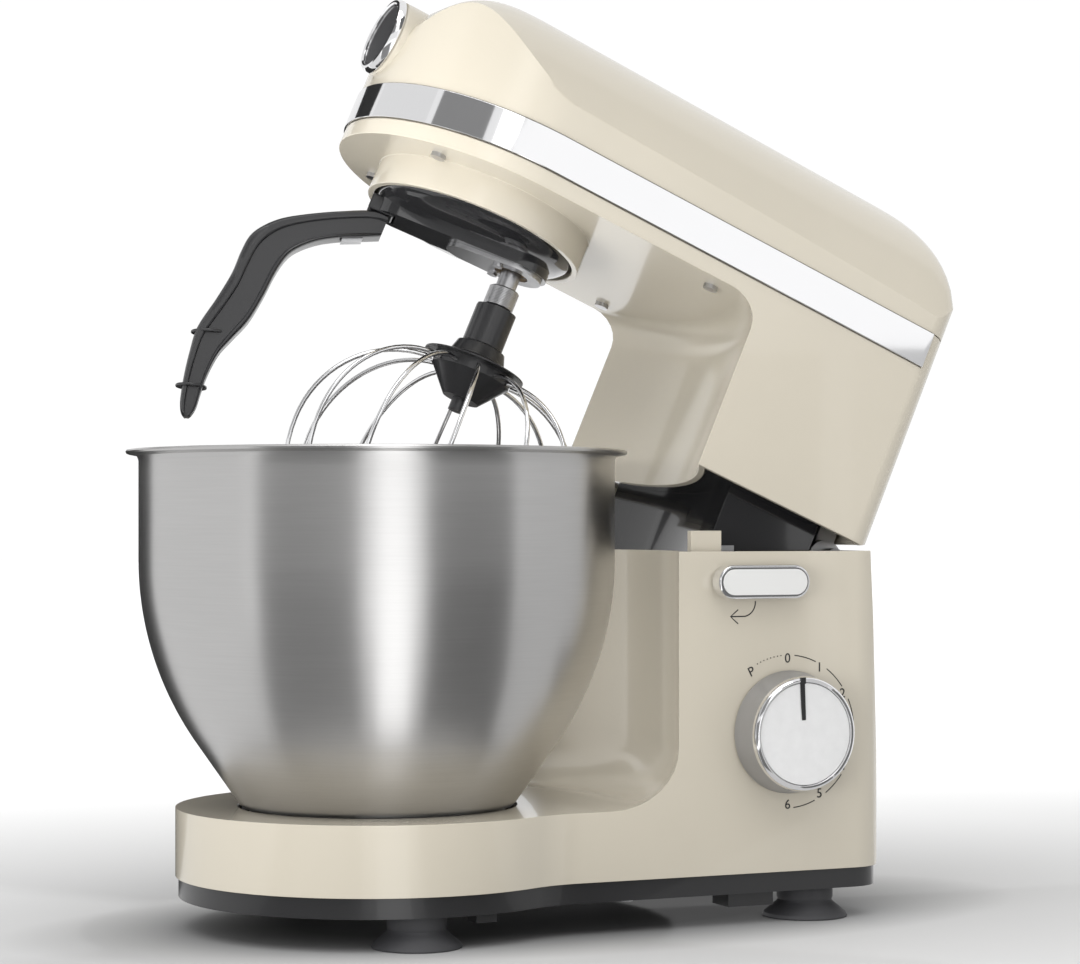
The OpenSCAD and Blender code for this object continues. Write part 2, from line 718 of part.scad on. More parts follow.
module plate_screws() color(steel) planetary()
    for (a = [-50, 50]) translate([orbit_r, 0, 0]) rotate([0, 0, a]) translate([-12.5, 0, block_z - 2])
        mirror([0, 0, 1]) screw(3, 8, 5, 1.6);

// furthest that the arm reaches at a height: clear of the bowl's wall, and of its rim when the head opens
function arm_reach(z) = min(bowl_inner(z) - arm_gap, bowl_r - 14 + 9 * min(1, max(0, (176 - z) / 26)));

// upper and under edge of the arm, from its root to its tip
arm_upper = [[38, 239.9], [47.9, 239.9], [62, 233], [75, 226], [86, 219], [93, 212], [97, 205], [99, 196],
             [100, 185], [101, 171], [103, 155], [102, 143], [100, 131], [97.5, 121], [95, 115.5], [92, 113.5]];
arm_under = [[89.5, 115], [88.8, 120], [90, 136], [89, 147], [86, 156], [82, 167], [80, 180], [79, 193],
             [77, 202.5], [73, 209], [66, 215.5], [57, 221], [47, 225.5], [38, 230]];

module scraper_arm() color(dark) planetary() {
    translate([0, arm_t / 2, 0]) rotate([90, 0, 0]) linear_extrude(arm_t)
        polygon([for (p = concat(arm_upper, arm_under)) [-min(p[0], arm_reach(p[1])), p[1]]]);
    // root in the carrier's socket
    translate([-50, -arm_t / 2, block_z - 0.5]) cube([12.8, arm_t, 8]);
}

module arm_strip() color(steel) planetary() translate([0, 4, 0]) rotate([90, 0, 0]) linear_extrude(8)
    polygon([[-47.5, 225.25], [-56.5, 221.2], [-56.5, 219.8], [-47.5, 223.85]]);

module shaft_bushes() color([0.7, 0.55, 0.3]) on_whisk() {
    for (z = [block_z, 251]) translate([0, 0, z]) pipe(8, shaft_r + run, 7);
}

module output_shaft() color(steel) on_whisk() difference() {
    translate([0, 0, 197]) cylinder(r = shaft_r, h = 79 - 0.4);
    translate([-20, 0, 209]) rotate([0, 90, 0]) cylinder(r = 1.5 + fit, h = 40);
}

module cross_pin() color(steel) on_whisk() translate([-9.4, 0, 209]) rotate([0, 90, 0])
    cylinder(r = 1.5, h = 18.8, $fn = 32);

module planet_pinion() color(steel) on_whisk() translate([0, 0, frame_z - 11.5]) difference() {
    gear(planet_teeth, planet_m, 11, -0.3);
    translate([0, 0, -1]) cylinder(r = shaft_r + fit, h = 20);
}

module shaft_spring() color(steel) on_whisk() translate([0, 0, whisk_top_z + 1.2]) coil_rings(6.6, 2, 1.8, 5);

module whisk_hub() color(dark) on_whisk() difference() {
    rotate_extrude($fn = 64) polygon([[0, disc_z - 21], [4, disc_z - 21], [4, disc_z - 15], [9, disc_z - 15],
        [19, disc_z - 3], [disc_r, disc_z], [disc_r, disc_z + 3], [14, disc_z + 6], [12, disc_z + 12],
        [10, disc_z + 13], [10, whisk_top_z], [0, whisk_top_z]]);
    translate([0, 0, 196]) cylinder(r = shaft_r + run, h = 40);
    // slot that the cross pin locks in
    translate([-15, -1.7, 207.3]) cube([30, 3.4, 15]);
    // groove that holds the wires
    translate([0, 0, disc_z - 10]) rotate_extrude() polygon([[groove_r, 0], [30, 0], [30, 12.4], [groove_r, 12.4]]);
}

// one loop: out from the hub, round the balloon and back, drawn by two quarter ellipses a side
function loop_side(low) = concat(
    [for (a = [90:-10:0]) [wire_r0 + (whisk_r - wire_r0) * cos(a), balloon_z + (disc_z - 1.2 - balloon_z) * sin(a)]],
    [for (a = [-10:-10:-80]) [whisk_r * cos(a), balloon_z + (balloon_z - low) * sin(a)]]);

function loop_path(low) = let (s = loop_side(low))
    concat(s, [[0, low]], [for (i = [len(s) - 1:-1:0]) [-s[i][0], s[i][1]]]);

module wire(path, d, sides = 8) {
    n = len(path);
    function dir(i) = let (v = path[min(i + 1, n - 1)] - path[max(i - 1, 0)]) v / norm(v);
    points = [for (i = [0:n - 1]) let (t = dir(i)) for (k = [0:sides - 1])
        let (a = 360 * k / sides, u = d / 2 * cos(a), v = d / 2 * sin(a))
        [path[i][0] - t[1] * u, v, path[i][1] + t[0] * u]];
    walls = [for (i = [0:n - 2], k = [0:sides - 1]) let (a = i * sides, b = (k + 1) % sides)
        [a + k, a + b, a + sides + b, a + sides + k]];
    polyhedron(points, concat([[for (k = [sides - 1:-1:0]) k]], walls,
                              [[for (k = [0:sides - 1]) (n - 1) * sides + k]]));
}

module whisk_wires() color(chrome) on_whisk()
    for (i = [0:wire_loops - 1]) rotate([0, 0, 180 * i / wire_loops])
        wire(loop_path(balloon_low + i * (wire_d + 0.3)), wire_d);

// ---- controls -----------------------------------------------------------

module speed_knob() color(chrome) on_panel(knob_x, knob_z) translate([0, 0, gap]) difference() {
    cylinder(r1 = knob_r, r2 = knob_r - 2.5, h = knob_h);
    translate([0, 0, knob_h - 2.5]) cylinder(r = knob_r - 5, h = 5);
    translate([0, 0, -1]) cylinder(r = knob_r - 5, h = knob_h - 5);
    translate([0, 0, -1]) cylinder(r = 3 + fit, h = 40);
}

module knob_face() color(steel) on_panel(knob_x, knob_z) translate([0, 0, gap + knob_h - 2.5]) difference() {
    cylinder(r = knob_r - 5 - fit, h = 1.5);
    translate([-1.3, 9, 0.7]) cube([2.6, 40, 3]);
}

module knob_pointer() color(dark) on_panel(knob_x, knob_z) translate([-1.2, 9.2, gap + knob_h - 1.8])
    cube([2.4, knob_r - 15.2, 1.3]);

module knob_spindle() color(steel) on_panel(knob_x, knob_z) translate([0, 0, -14])
    cylinder(r = 3, h = 14 + gap + knob_h - 2.6);

module lever_outline(d) {
    hull() {
        circle(r = lever_h / 2 - d);
        translate([lever_l - lever_h, 0]) circle(r = lever_h / 2 - d);
    }
}

module release_lever() color(chrome) on_panel(lever_pivot_x, lever_z) translate([0, 0, gap + 0.4]) difference() {
    linear_extrude(8.6) lever_outline(0);
    translate([0, 0, 7]) linear_extrude(5) lever_outline(1.8);
    translate([0, 0, -1]) cylinder(r = 3.5 + fit, h = 5);
}

module lever_face() color([0.95, 0.95, 0.95]) on_panel(lever_pivot_x, lever_z) translate([0, 0, gap + 7.42])
    linear_extrude(1.2) lever_outline(1.85);

module lever_spindle() color(steel) on_panel(lever_pivot_x, lever_z) translate([0, 0, -13.5])
    cylinder(r = 3.5, h = 13.5 + gap + 4.2);

module latch_hook() color(steel) on_panel(lever_pivot_x, lever_z) translate([0, 0, -13.5]) difference() {
    union() {
        cylinder(r = 7, h = 3);
        translate([-4, 0, 0]) cube([8, 16, 3]);
        translate([-4, 13, 0]) cube([14, 4, 3]);
    }
    translate([0, 0, -1]) cylinder(r = 3.5 + fit, h = 6);
}

// ---- front hub cap ------------------------------------------------------

module hub_cap_ring() color(chrome) raised() translate([-head_nose_r - 1.3, 0, cap_z]) rotate([0, -90, 0])
    difference() {
        union() {
            cylinder(r1 = cap_r, r2 = cap_r - 1.2, h = 4);
            translate([0, 0, -8]) cylinder(r = 12 - 0.3, h = 8.5);
        }
        translate([0, 0, 1.5]) cylinder(r = cap_r - 3.2, h = 5);
    }

module hub_cap_disc() color([0.25, 0.25, 0.26]) raised() translate([-head_nose_r - 2.82, 0, cap_z])
    rotate([0, -90, 0]) cylinder(r = cap_r - 3.3, h = 1.8);

// -------------------------------------------------------------------------

base_shell();
bottom_pan();
bowl_seat();
suction_feet();
base_screws();
hinge_brackets();
hinge_pin();
head_spring();
control_board();
speed_switch();
cord_inlet();
lever_bush();
lever_spring();
head_top_shell();
trim_band();
head_lower_shell();
neck_skirt();
head_frame();
head_screws();
ring_gear();
carrier_bearings();
motor_stator();
motor_brackets();
motor_bearings();
drive_belt();
rotor_core();
rotor_shaft();
commutator();
cooling_fan();
motor_pulley();
layshaft();
layshaft_pulley();
layshaft_bearing();
planet_carrier();
carrier_shaft();
carrier_gear();
carrier_plate();
plate_screws();
scraper_arm();
arm_strip();
shaft_bushes();
output_shaft();
planet_pinion();
cross_pin();
shaft_spring();
whisk_hub();
whisk_wires();
speed_knob();
knob_face();
knob_pointer();
knob_spindle();
release_lever();
lever_face();
lever_spindle();
latch_hook();
bowl();
bowl_foot();
hub_cap_ring();
hub_cap_disc();
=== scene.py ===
"""Stand mixer: the looks of a tilt-head mixer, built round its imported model.

Lengths in the shape functions are millimetres in the closed mixer's own places: x runs back from
the bowl's axis, y to the side away from the controls and z up from the worktop. settle() turns a
finished mesh into the frame's metres, and lifts it with the head where it belongs to the head.
"""
import json
import math

import bpy
from mathutils import Matrix, Vector


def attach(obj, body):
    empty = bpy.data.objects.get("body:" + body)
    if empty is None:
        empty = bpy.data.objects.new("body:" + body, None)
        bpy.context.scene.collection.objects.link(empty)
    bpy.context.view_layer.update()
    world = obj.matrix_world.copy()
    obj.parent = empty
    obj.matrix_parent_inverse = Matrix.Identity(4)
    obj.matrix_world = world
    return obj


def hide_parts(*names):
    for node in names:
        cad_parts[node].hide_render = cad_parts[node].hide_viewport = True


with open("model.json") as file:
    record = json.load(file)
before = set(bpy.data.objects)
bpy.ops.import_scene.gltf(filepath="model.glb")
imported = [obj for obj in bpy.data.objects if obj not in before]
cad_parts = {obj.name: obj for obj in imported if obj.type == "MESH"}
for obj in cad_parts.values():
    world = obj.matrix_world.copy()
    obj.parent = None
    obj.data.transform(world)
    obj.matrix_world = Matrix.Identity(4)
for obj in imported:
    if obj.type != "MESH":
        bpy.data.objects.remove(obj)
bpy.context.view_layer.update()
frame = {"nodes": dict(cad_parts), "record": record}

bl_info = {
    "name": "Stand mixer",
    "version": (1, 0, 0),
    "blender": (4, 5, 0),
    "location": "3D View > Sidebar > Mixer",
    "description": "Models and finishes a tilt-head stand mixer round its packed frame",
    "category": "Add Mesh",
}

JOINTS = {j["name"]: j for j in frame["record"]["behaviour"]["joints"]}
MM = 0.001
BOWL_AXIS = Vector(JOINTS["bowl_twist"]["pos_m"])
HINGE = Vector(JOINTS["head_tilt"]["pos_m"])
HEAD_OPEN = math.radians(JOINTS["head_tilt"]["range_deg"][1])
KNOB = Vector(JOINTS["speed_knob_turn"]["pos_m"])
LEVER = Vector(JOINTS["release_lever_turn"]["pos_m"])
TO_FRAME = Matrix.Translation((BOWL_AXIS.x, 0, 0)) @ Matrix.Scale(MM, 4)
LIFT = Matrix.Translation(HINGE) @ Matrix.Rotation(HEAD_OPEN, 4, "Y") @ Matrix.Translation(-HINGE)
PANEL_Y = KNOB.y / MM

# closed places, in millimetres
NOSE_R = 75
HEAD_HALF = 77
HEAD_REAR = 222.5
BAND_Z = (272, 289.8)
HEAD_TOP = 354
CROWN_R = 72.5
REAR_R = 46
DOME_R = 62
BAND_END = 212
CAP_Z = 315
FEET = ((-10, 75), (-10, -75), (198, 58), (198, -58))
BOWL_R = 112
BOWL_WALL = 0.8
BOWL_CURVE = (-38, 172, 150)  # centre and radius of the curve under the straight wall
COLLAR_Z = 249
DISC_Z = 187
ORBIT = 24.5
PHASE = math.radians(-17)
BALLOON_Z = COLLAR_Z - 115
BALLOON_LOW = COLLAR_Z - 183
WHISK_R = 69
WIRE_START = 19.8
WIRE_R = 1.1
LOOPS = 6
LOOP_STEP = 2.5
SPRING_R = 6.6
SPRING_Z = (220.4, 229.4)
FIGURE_R = 34.6
DIAL_R = 36.2
SIGN_PLACE = (160.5, 145.0)


# ---- modelling helpers --------------------------------------------------


def lone(obj=None):
    """Leaves only obj selected and active."""
    if bpy.context.mode != "OBJECT":
        bpy.ops.object.mode_set(mode="OBJECT")
    bpy.ops.object.select_all(action="DESELECT")
    if obj:
        obj.select_set(True)
        bpy.context.view_layer.objects.active = obj


def edit(obj, work):
    """Runs work() in edit mode with the whole mesh selected."""
    lone(obj)
    bpy.ops.object.mode_set(mode="EDIT")
    bpy.ops.mesh.select_all(action="SELECT")
    work()
    bpy.ops.object.mode_set(mode="OBJECT")


def tidy_mesh(obj, near=0.002):
    """Merges doubled points and turns the faces outwards."""

    def work():
        bpy.ops.mesh.remove_doubles(threshold=near)
        bpy.ops.mesh.normals_make_consistent(inside=False)

    edit(obj, work)


def modify(obj, kind, **settings):
    """Adds a modifier and applies it."""
    lone(obj)
    mod = obj.modifiers.new(kind.title(), kind)
    for key, value in settings.items():
        setattr(mod, key, value)
    bpy.ops.object.modifier_apply(modifier=mod.name)


def bevel(obj, width, segments=3, angle=35):
    modify(obj, "BEVEL", width=width, segments=segments, limit_method="ANGLE",
           angle_limit=math.radians(angle), harden_normals=False)


def smooth(obj, angle=35):
    lone(obj)
    bpy.ops.object.shade_smooth_by_angle(angle=math.radians(angle))
    modify(obj, "WEIGHTED_NORMAL", keep_sharp=True)


def loft(name, rows, wrap=True):
    """A skin over rows of points, each row the same length; wrap closes every row on itself."""
    across = len(rows[0]) + (1 if wrap else 0)
    lone()
    bpy.ops.mesh.primitive_grid_add(x_subdivisions=across - 1, y_subdivisions=len(rows) - 1, size=1)
    obj = bpy.context.object
    obj.name = name
    for index, vertex in enumerate(obj.data.vertices):
        row, place = divmod(index, across)
        vertex.co = rows[row][place % len(rows[0])]
    tidy_mesh(obj)
    return obj


def outline_mesh(name, points, fill=True):
    """A flat outline of the given points, filled or left as a wire loop."""
    lone()
    bpy.ops.mesh.primitive_circle_add(vertices=len(points), fill_type="NGON" if fill else "NOTHING")
    obj = bpy.context.object
    obj.name = name
    for vertex, point in zip(obj.data.vertices, points):
        vertex.co = point
    return obj


def turned(name, profile, steps):
    """A closed profile of (radius, height) points spun about z."""
    obj = outline_mesh(name, [(r, 0, z) for r, z in profile], fill=False)

    def work():
        bpy.ops.mesh.spin(steps=steps, angle=math.tau, center=(0, 0, 0), axis=(0, 0, 1))
        bpy.ops.mesh.select_all(action="SELECT")
        bpy.ops.mesh.remove_doubles(threshold=0.004)
        bpy.ops.mesh.dissolve_degenerate(threshold=0.001)
        bpy.ops.mesh.select_all(action="SELECT")
        bpy.ops.mesh.normals_make_consistent(inside=False)

    edit(obj, work)
    return obj


def extruded(name, points, depth):
    """A filled outline drawn out along depth."""
    obj = outline_mesh(name, points)

    def work():
        bpy.ops.mesh.extrude_region_move(TRANSFORM_OT_translate={"value": depth})
        bpy.ops.mesh.select_all(action="SELECT")
        bpy.ops.mesh.normals_make_consistent(inside=False)

    edit(obj, work)
    return obj


def tube(name, path, radius, sides):
    """A round bar along a path of points."""
    lone()
    bpy.ops.curve.primitive_nurbs_path_add()
    obj = bpy.context.object
    obj.name = name
    obj.data.splines.clear()
    spline = obj.data.splines.new("POLY")
    spline.points.add(len(path) - 1)
    for point, co in zip(spline.points, path):
        point.co = (*co, 1)
    obj.data.bevel_depth = radius
    obj.data.bevel_resolution = sides
    obj.data.use_fill_caps = True
    bpy.ops.object.convert(target="MESH")
    obj = bpy.context.object
    obj.name = name
    return obj


def cad_copy(name, node):
    """A merged copy of a CAD node's mesh, in metres, ready to be bevelled."""
    lone(frame["nodes"][node])
    bpy.ops.object.duplicate()
    obj = bpy.context.object
    obj.name = name
    place = obj.matrix_world.copy()
    obj.parent = None
    obj.matrix_world = place
    obj.modifiers.clear()

    def work():
        bpy.ops.mesh.remove_doubles(threshold=2e-6)
        bpy.ops.mesh.customdata_custom_splitnormals_clear()
        bpy.ops.mesh.select_all(action="SELECT")
        bpy.ops.mesh.dissolve_limited(angle_limit=math.radians(0.6))

    edit(obj, work)
    return obj


def join(name, parts):
    """Makes one piece of several."""
    lone(parts[0])
    for part in parts:
        part.select_set(True)
    bpy.ops.object.join()
    obj = bpy.context.object
    obj.name = name
    return obj


def settle(obj, lifted=False, extra=None):
    """Puts a millimetre mesh into the frame, lifted with the head where asked."""
    obj.data.transform(obj.matrix_world)
    obj.matrix_world = Matrix.Identity(4)
    if extra is not None:
        obj.data.transform(extra)
    obj.data.transform((LIFT if lifted else Matrix.Identity(4)) @ TO_FRAME)
    obj.data.update()
    return obj


def give(obj, body, slot, *nodes, finish=None):
    """Rides obj on a body, gives it its finish and hides the CAD nodes it stands for."""
    obj.data.materials.clear()
    obj.data.materials.append(finish_of(finish or slot))
    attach(obj, body)
    if nodes:
        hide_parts(*nodes)
    return obj


def arc(cx, cy, r, start, end, count):
    """Points on an arc, angles in degrees."""
    steps = [math.radians(start + (end - start) * i / count) for i in range(count + 1)]
    return [(cx + r * math.cos(a), cy + r * math.sin(a)) for a in steps]


def lerp(a, b, t):
    """The value a share t of the way from a to b."""
    return a + (b - a) * t


# ---- finishes -----------------------------------------------------------


class Value:
    """A socket in a material's tree; arithmetic on it adds Math nodes."""

    def __init__(self, maker, socket):
        self.maker = maker
        self.socket = socket

    def math(self, operation, other=0.0, swap=False):
        pair = (other, self) if swap else (self, other)
        node = self.maker.node("ShaderNodeMath", {"operation": operation}, {0: pair[0], 1: pair[1]})
        return Value(self.maker, node.outputs[0])

    def __add__(self, other):
        return self.math("ADD", other)

    __radd__ = __add__

    def __mul__(self, other):
        return self.math("MULTIPLY", other)

    __rmul__ = __mul__

    def __sub__(self, other):
        return self.math("SUBTRACT", other)

    def __rsub__(self, other):
        return self.math("SUBTRACT", other, swap=True)


class Maker:
    """Builds one material's tree round its Principled shader."""

    def __init__(self, name, **constants):
        self.material = bpy.data.materials.new(name)
        self.material.use_nodes = True
        self.nodes = self.material.node_tree.nodes
        self.links = self.material.node_tree.links
        self.shader = self.nodes["Principled BSDF"]
        for key, value in constants.items():
            self.shader.inputs[key.replace("_", " ")].default_value = value

    def node(self, kind, settings=None, inputs=None):
        node = self.nodes.new(kind)
        for key, value in (settings or {}).items():
            setattr(node, key, value)
        for key, value in (inputs or {}).items():
            self.feed(node.inputs[key], value)
        return node

    def feed(self, socket, value):
        if isinstance(value, Value):
            self.links.new(value.socket, socket)
        else:
            socket.default_value = value

    def place(self, stretch):
        """Object coordinates, stretched."""
        spot = self.node("ShaderNodeTexCoord").outputs["Object"]
        node = self.node("ShaderNodeMapping", inputs={"Vector": Value(self, spot), "Scale": stretch})
        return Value(self, node.outputs[0])

    def distance(self, stretch):
        """How far a place is from the object's origin."""
        node = self.node("ShaderNodeVectorMath", {"operation": "LENGTH"}, {0: self.place(stretch)})
        return Value(self, node.outputs["Value"])

    def noise(self, scale, detail, stretch=(1, 1, 1)):
        node = self.node("ShaderNodeTexNoise",
                         inputs={"Vector": self.place(stretch), "Scale": scale, "Detail": detail})
        return Value(self, node.outputs["Fac"])

    def tint(self, mask, low, high):
        """A colour between low and high, as the mask goes from 0 to 1."""
        node = self.node("ShaderNodeMix", {"data_type": "RGBA"}, {0: mask, 6: low, 7: high})
        return Value(self, node.outputs[2])

    def bump(self, height, strength, distance):
        node = self.node("ShaderNodeBump",
                         inputs={"Height": height, "Strength": strength, "Distance": distance})
        self.feed(self.shader.inputs["Normal"], Value(self, node.outputs["Normal"]))

    def varying(self, name, value):
        """Feeds a value that changes over the surface to one of the shader's sockets."""
        self.feed(self.shader.inputs[name], value)


def shade(color, by):
    """A colour made darker or lighter, with full alpha."""
    return (*(c * by for c in color[:3]), 1)


def moulded(name, color, rough, grain, depth, coat):
    """Moulded plastic: a faint colour drift, a fine skin and a clear top coat."""
    maker = Maker(name, IOR=1.5, Coat_Weight=coat, Coat_Roughness=0.04)
    drift = maker.noise(14, 2)
    skin = maker.noise(grain, 4)
    maker.varying("Base Color", maker.tint(drift, shade(color, 0.97), shade(color, 1.03)))
    maker.varying("Roughness", rough - 0.03 + drift * 0.06)
    maker.bump(skin, 0.12, depth)
    return maker.material


def drawn_metal(name, color, rough, scale, stretch=(1, 1, 1), anisotropy=0.0, spread=0.12, metallic=1.0):
    """Brushed metal: long fine scratches in the colour, roughness and surface."""
    maker = Maker(name, Metallic=metallic, Anisotropic=anisotropy, Anisotropic_Rotation=0.25)
    lines = maker.noise(scale, 5, stretch)
    broad = maker.noise(7, 2)
    maker.varying("Base Color", maker.tint(lines, shade(color, 0.94), shade(color, 1.05)))
    maker.varying("Roughness", rough - spread / 2 + lines * spread + broad * 0.04)
    maker.bump(lines, 0.05, 0.00002)
    return maker.material


def polished(name, color):
    """Plated chrome with a trace of handling marks."""
    maker = Maker(name, Metallic=1.0)
    marks = maker.noise(40, 4)
    maker.varying("Base Color", maker.tint(marks, shade(color, 0.98), shade(color, 1.0)))
    maker.varying("Roughness", 0.05 + marks * 0.03)
    return maker.material


def printed(name, color):
    """Dark print on the panel."""
    maker = Maker(name, Roughness=0.45)
    grain = maker.noise(900, 2)
    maker.varying("Base Color", maker.tint(grain, shade(color, 0.9), shade(color, 1.1)))
    return maker.material


def finish_of(name):
    """The named finish, made on first use."""
    title = "finish_" + name
    if title in bpy.data.materials:
        return bpy.data.materials[title]
    look = bpy.context.scene.mixer_finishes
    cream = tuple(look.shell_color)
    black = tuple(look.trim_color)
    soft = look.bowl_roughness
    makers = {
        "cream": lambda: moulded(title, cream, 0.22, 500, 0.00003, 0.5),
        "dark_plastic": lambda: moulded(title, black, 0.3, 900, 0.00003, 0.25),
        "gloss_black": lambda: moulded(title, black, 0.12, 300, 0.00001, 0.6),
        "rubber": lambda: moulded(title, (0.035, 0.035, 0.038), 0.62, 1200, 0.00006, 0.0),
        "cap_grey": lambda: moulded(title, (0.05, 0.05, 0.053), 0.16, 300, 0.00001, 0.8),
        "lever_white": lambda: moulded(title, (0.62, 0.62, 0.61), 0.25, 400, 0.00001, 0.5),
        "board_green": lambda: moulded(title, (0.02, 0.13, 0.05), 0.4, 600, 0.00002, 0.2),
        "steel": lambda: drawn_metal(title, (0.55, 0.55, 0.56), 0.28, 120),
        "brushed_steel": lambda: drawn_metal(title, (0.6, 0.595, 0.59), soft, 30, (1, 1, 40), 0.75, 0.05),
        "face_steel": lambda: drawn_metal(title, (0.78, 0.78, 0.78), 0.35, 200, anisotropy=0.6,
                                          metallic=0.35),
        "satin_metal": lambda: drawn_metal(title, (0.42, 0.42, 0.43), 0.4, 200, anisotropy=0.3, spread=0.1,
                                           metallic=0.8),
        "cast_aluminium": lambda: drawn_metal(title, (0.6, 0.6, 0.61), 0.45, 300),
        "copper": lambda: drawn_metal(title, (0.6, 0.28, 0.14), 0.35, 150, (1, 1, 12)),
        "bronze": lambda: drawn_metal(title, (0.5, 0.34, 0.16), 0.4, 200),
        "chrome": lambda: polished(title, (0.86, 0.86, 0.87)),
        "ink": lambda: printed(title, (0.02, 0.02, 0.02)),
    }
    return makers[name]()


# ---- outlines of the head ----------------------------------------------


def side_outline(inset=0.0):
    """The head's outline from the nose to the rear on the +y side, moved in by inset."""
    r, half = NOSE_R - inset, HEAD_HALF - inset
    corner = 13 - min(inset, 8)
    points = arc(0, 0, r, 180, 92, 26)
    end = (HEAD_REAR - inset - corner, half)
    x, y = points[-1]
    points += [(lerp(x, end[0], i / 16), lerp(y, end[1], i / 16)) for i in range(1, 16)]
    return points + arc(end[0], half - corner, corner, 90, 0, 7)


def mirrored(points):
    """Adds the mirror image, so that the ring closes behind the nose."""
    return points + [(x, -y) for x, y in reversed(points[1:])]


def round_over(distance, along, drop, power):
    """How far a surface drops at a distance into a rounding that is along wide and drop deep."""
    t = min(1.0, max(0.0, distance / along))
    return drop * (1 - (1 - t ** power) ** (1 / power))


def top_height(x, y):
    """Height of the head's crowned top over a place, softly joined to the dome and the rear."""
    drops = (round_over(abs(y), HEAD_HALF + 2, CROWN_R, 2.1),
             round_over(22 - DOME_R / 5 - x, 22 - DOME_R / 5 + NOSE_R, DOME_R, 2.7),
             round_over(x - HEAD_REAR + REAR_R + 8, REAR_R + 8, REAR_R, 2.4))
    return HEAD_TOP - sum(d ** 2.4 for d in drops) ** (1 / 2.4)


# ---- base ---------------------------------------------------------------


def make_base():
    """The base and column in one shell, with its edges eased, over the dark pan."""
    shell = cad_copy("base_and_column", "base_shell")
    bevel(shell, 0.0032, 3, 40)
    smooth(shell, 40)
    give(shell, "base", "cream", "base_shell")
    pan = cad_copy("dark_pan", "bottom_pan")
    bevel(pan, 0.0015, 2, 40)
    smooth(pan, 40)
    give(pan, "base", "dark_plastic", "bottom_pan")


def make_feet():
    """Four suction feet, each a cup under a short stem."""
    cup = [(0, 2.5), (15.5, 1.2), (18.9, 0.05), (20.2, 0.0), (20.5, 0.6), (19.6, 2.2), (16.2, 5.0)]
    stem = [(14.2, 6.6), (13.4, 7.4), (13.0, 8.2), (13.5, 9.6), (13.5, 14.4), (13.1, 14.9), (0, 14.9)]
    for index, (x, y) in enumerate(FEET):
        foot = turned(f"foot_{index + 1}", cup + stem, 64)
        smooth(foot, 30)
        settle(foot, extra=Matrix.Translation((x, y, 0)))
        give(foot, "base", "rubber", *(["suction_feet"] if index == 0 else []))


# ---- bowl ---------------------------------------------------------------


def bowl_profile():
    """The thin wall in section: up the outside, round the rolled lip and down the inside."""
    x, z, r = BOWL_CURVE
    inside = BOWL_R - BOWL_WALL
    foot = [(0, 56), (59, 56), (63.2, 56.1), (65, 57.4)]
    outer = arc(x, z, r, -34, 0, 22) + [(BOWL_R, 214), (BOWL_R, 218.5), (BOWL_R + 0.8, 220.6)]
    lip = [(116.6, 221.3), (117.6, 221.7), (118, 222.6), (117.6, 223.3), (116.6, 223.5), (113.8, 223.2)]
    inner = [(BOWL_R, 222.2), (inside, 220), (inside, 214)] + arc(x, z, r - BOWL_WALL, 0, -34, 22)
    return foot + outer + lip + inner + [(64, 58.4), (58, 56.9), (0, 56.8)]


def make_bowl():
    """The steel bowl, spun from its section."""
    bowl = turned("steel_bowl", bowl_profile(), 160)
    smooth(bowl, 40)
    settle(bowl)
    give(bowl, "bowl", "brushed_steel", "bowl")


# ---- head ---------------------------------------------------------------


def top_rows():
    """Rings from the seam up the wall, then inwards over the crowned top to its spine."""
    base = mirrored(side_outline())
    rows = [[(x, y, z) for x, y in base] for z in (290.2, 291.5)]
    for i in range(9):
        rows.append([(x, y, lerp(293, max(293.5, top_height(x, y)), i / 8)) for x, y in base])
    for i in range(1, 31):
        t = 1 - (1 - i / 30) ** 1.7
        ring = [(lerp(x, min(max(x, -30), HEAD_REAR - 50), t), lerp(y, 0, t)) for x, y in base]
        rows.append([(x, y, max(293.5, top_height(x, y))) for x, y in ring])
    return rows


def make_head_top():
    """The head's crowned cover and the short boss behind the hub cap."""
    top = loft("head_top_cover", top_rows())
    modify(top, "SOLIDIFY", thickness=2.5, offset=-1)
    bevel(top, 0.6, 2, 50)
    smooth(top, 30)
    settle(top, lifted=True)
    give(top, "head", "cream", "head_top_shell")
    barrel = [(12, 0), (18, 0), (18.7, 0.6), (18.9, 4), (18.9, 10), (19.1, 26), (12, 26)]
    boss = turned("hub_boss", barrel, 80)
    smooth(boss, 30)
    turn = Matrix.Translation((-NOSE_R - 1, 0, CAP_Z)) @ Matrix.Rotation(math.pi / 2, 4, "Y")
    settle(boss, lifted=True, extra=turn)
    give(boss, "head", "cream")


def make_band():
    """The chrome band: a wall round the nose, cut short at the rear."""
    side = [(x, y) for x, y in side_outline(-0.25) if x < BAND_END]
    side.append((BAND_END, side[-1][1]))
    wall = [(x, -y) for x, y in reversed(side[1:])] + side
    rows = [[(x, y, z) for x, y in wall] for z in (BAND_Z[0] + 0.2, BAND_Z[1])]
    band = loft("chrome_band", rows, wrap=False)
    modify(band, "SOLIDIFY", thickness=1.3, offset=0)
    bevel(band, 0.35, 3, 50)
    smooth(band, 30)
    settle(band, lifted=True)
    give(band, "head", "chrome", "trim_band")


def make_head_low():
    """The head's lower cover with the collar and neck, and the dark cover under the neck."""
    low = cad_copy("head_lower_cover", "head_lower_shell")
    bevel(low, 0.0028, 3, 40)
    smooth(low, 40)
    give(low, "head", "cream", "head_lower_shell")
    skirt = cad_copy("neck_lower_cover", "neck_skirt")
    bevel(skirt, 0.0012, 2, 40)
    smooth(skirt, 40)
    give(skirt, "head", "dark_plastic", "neck_skirt", finish="gloss_black")


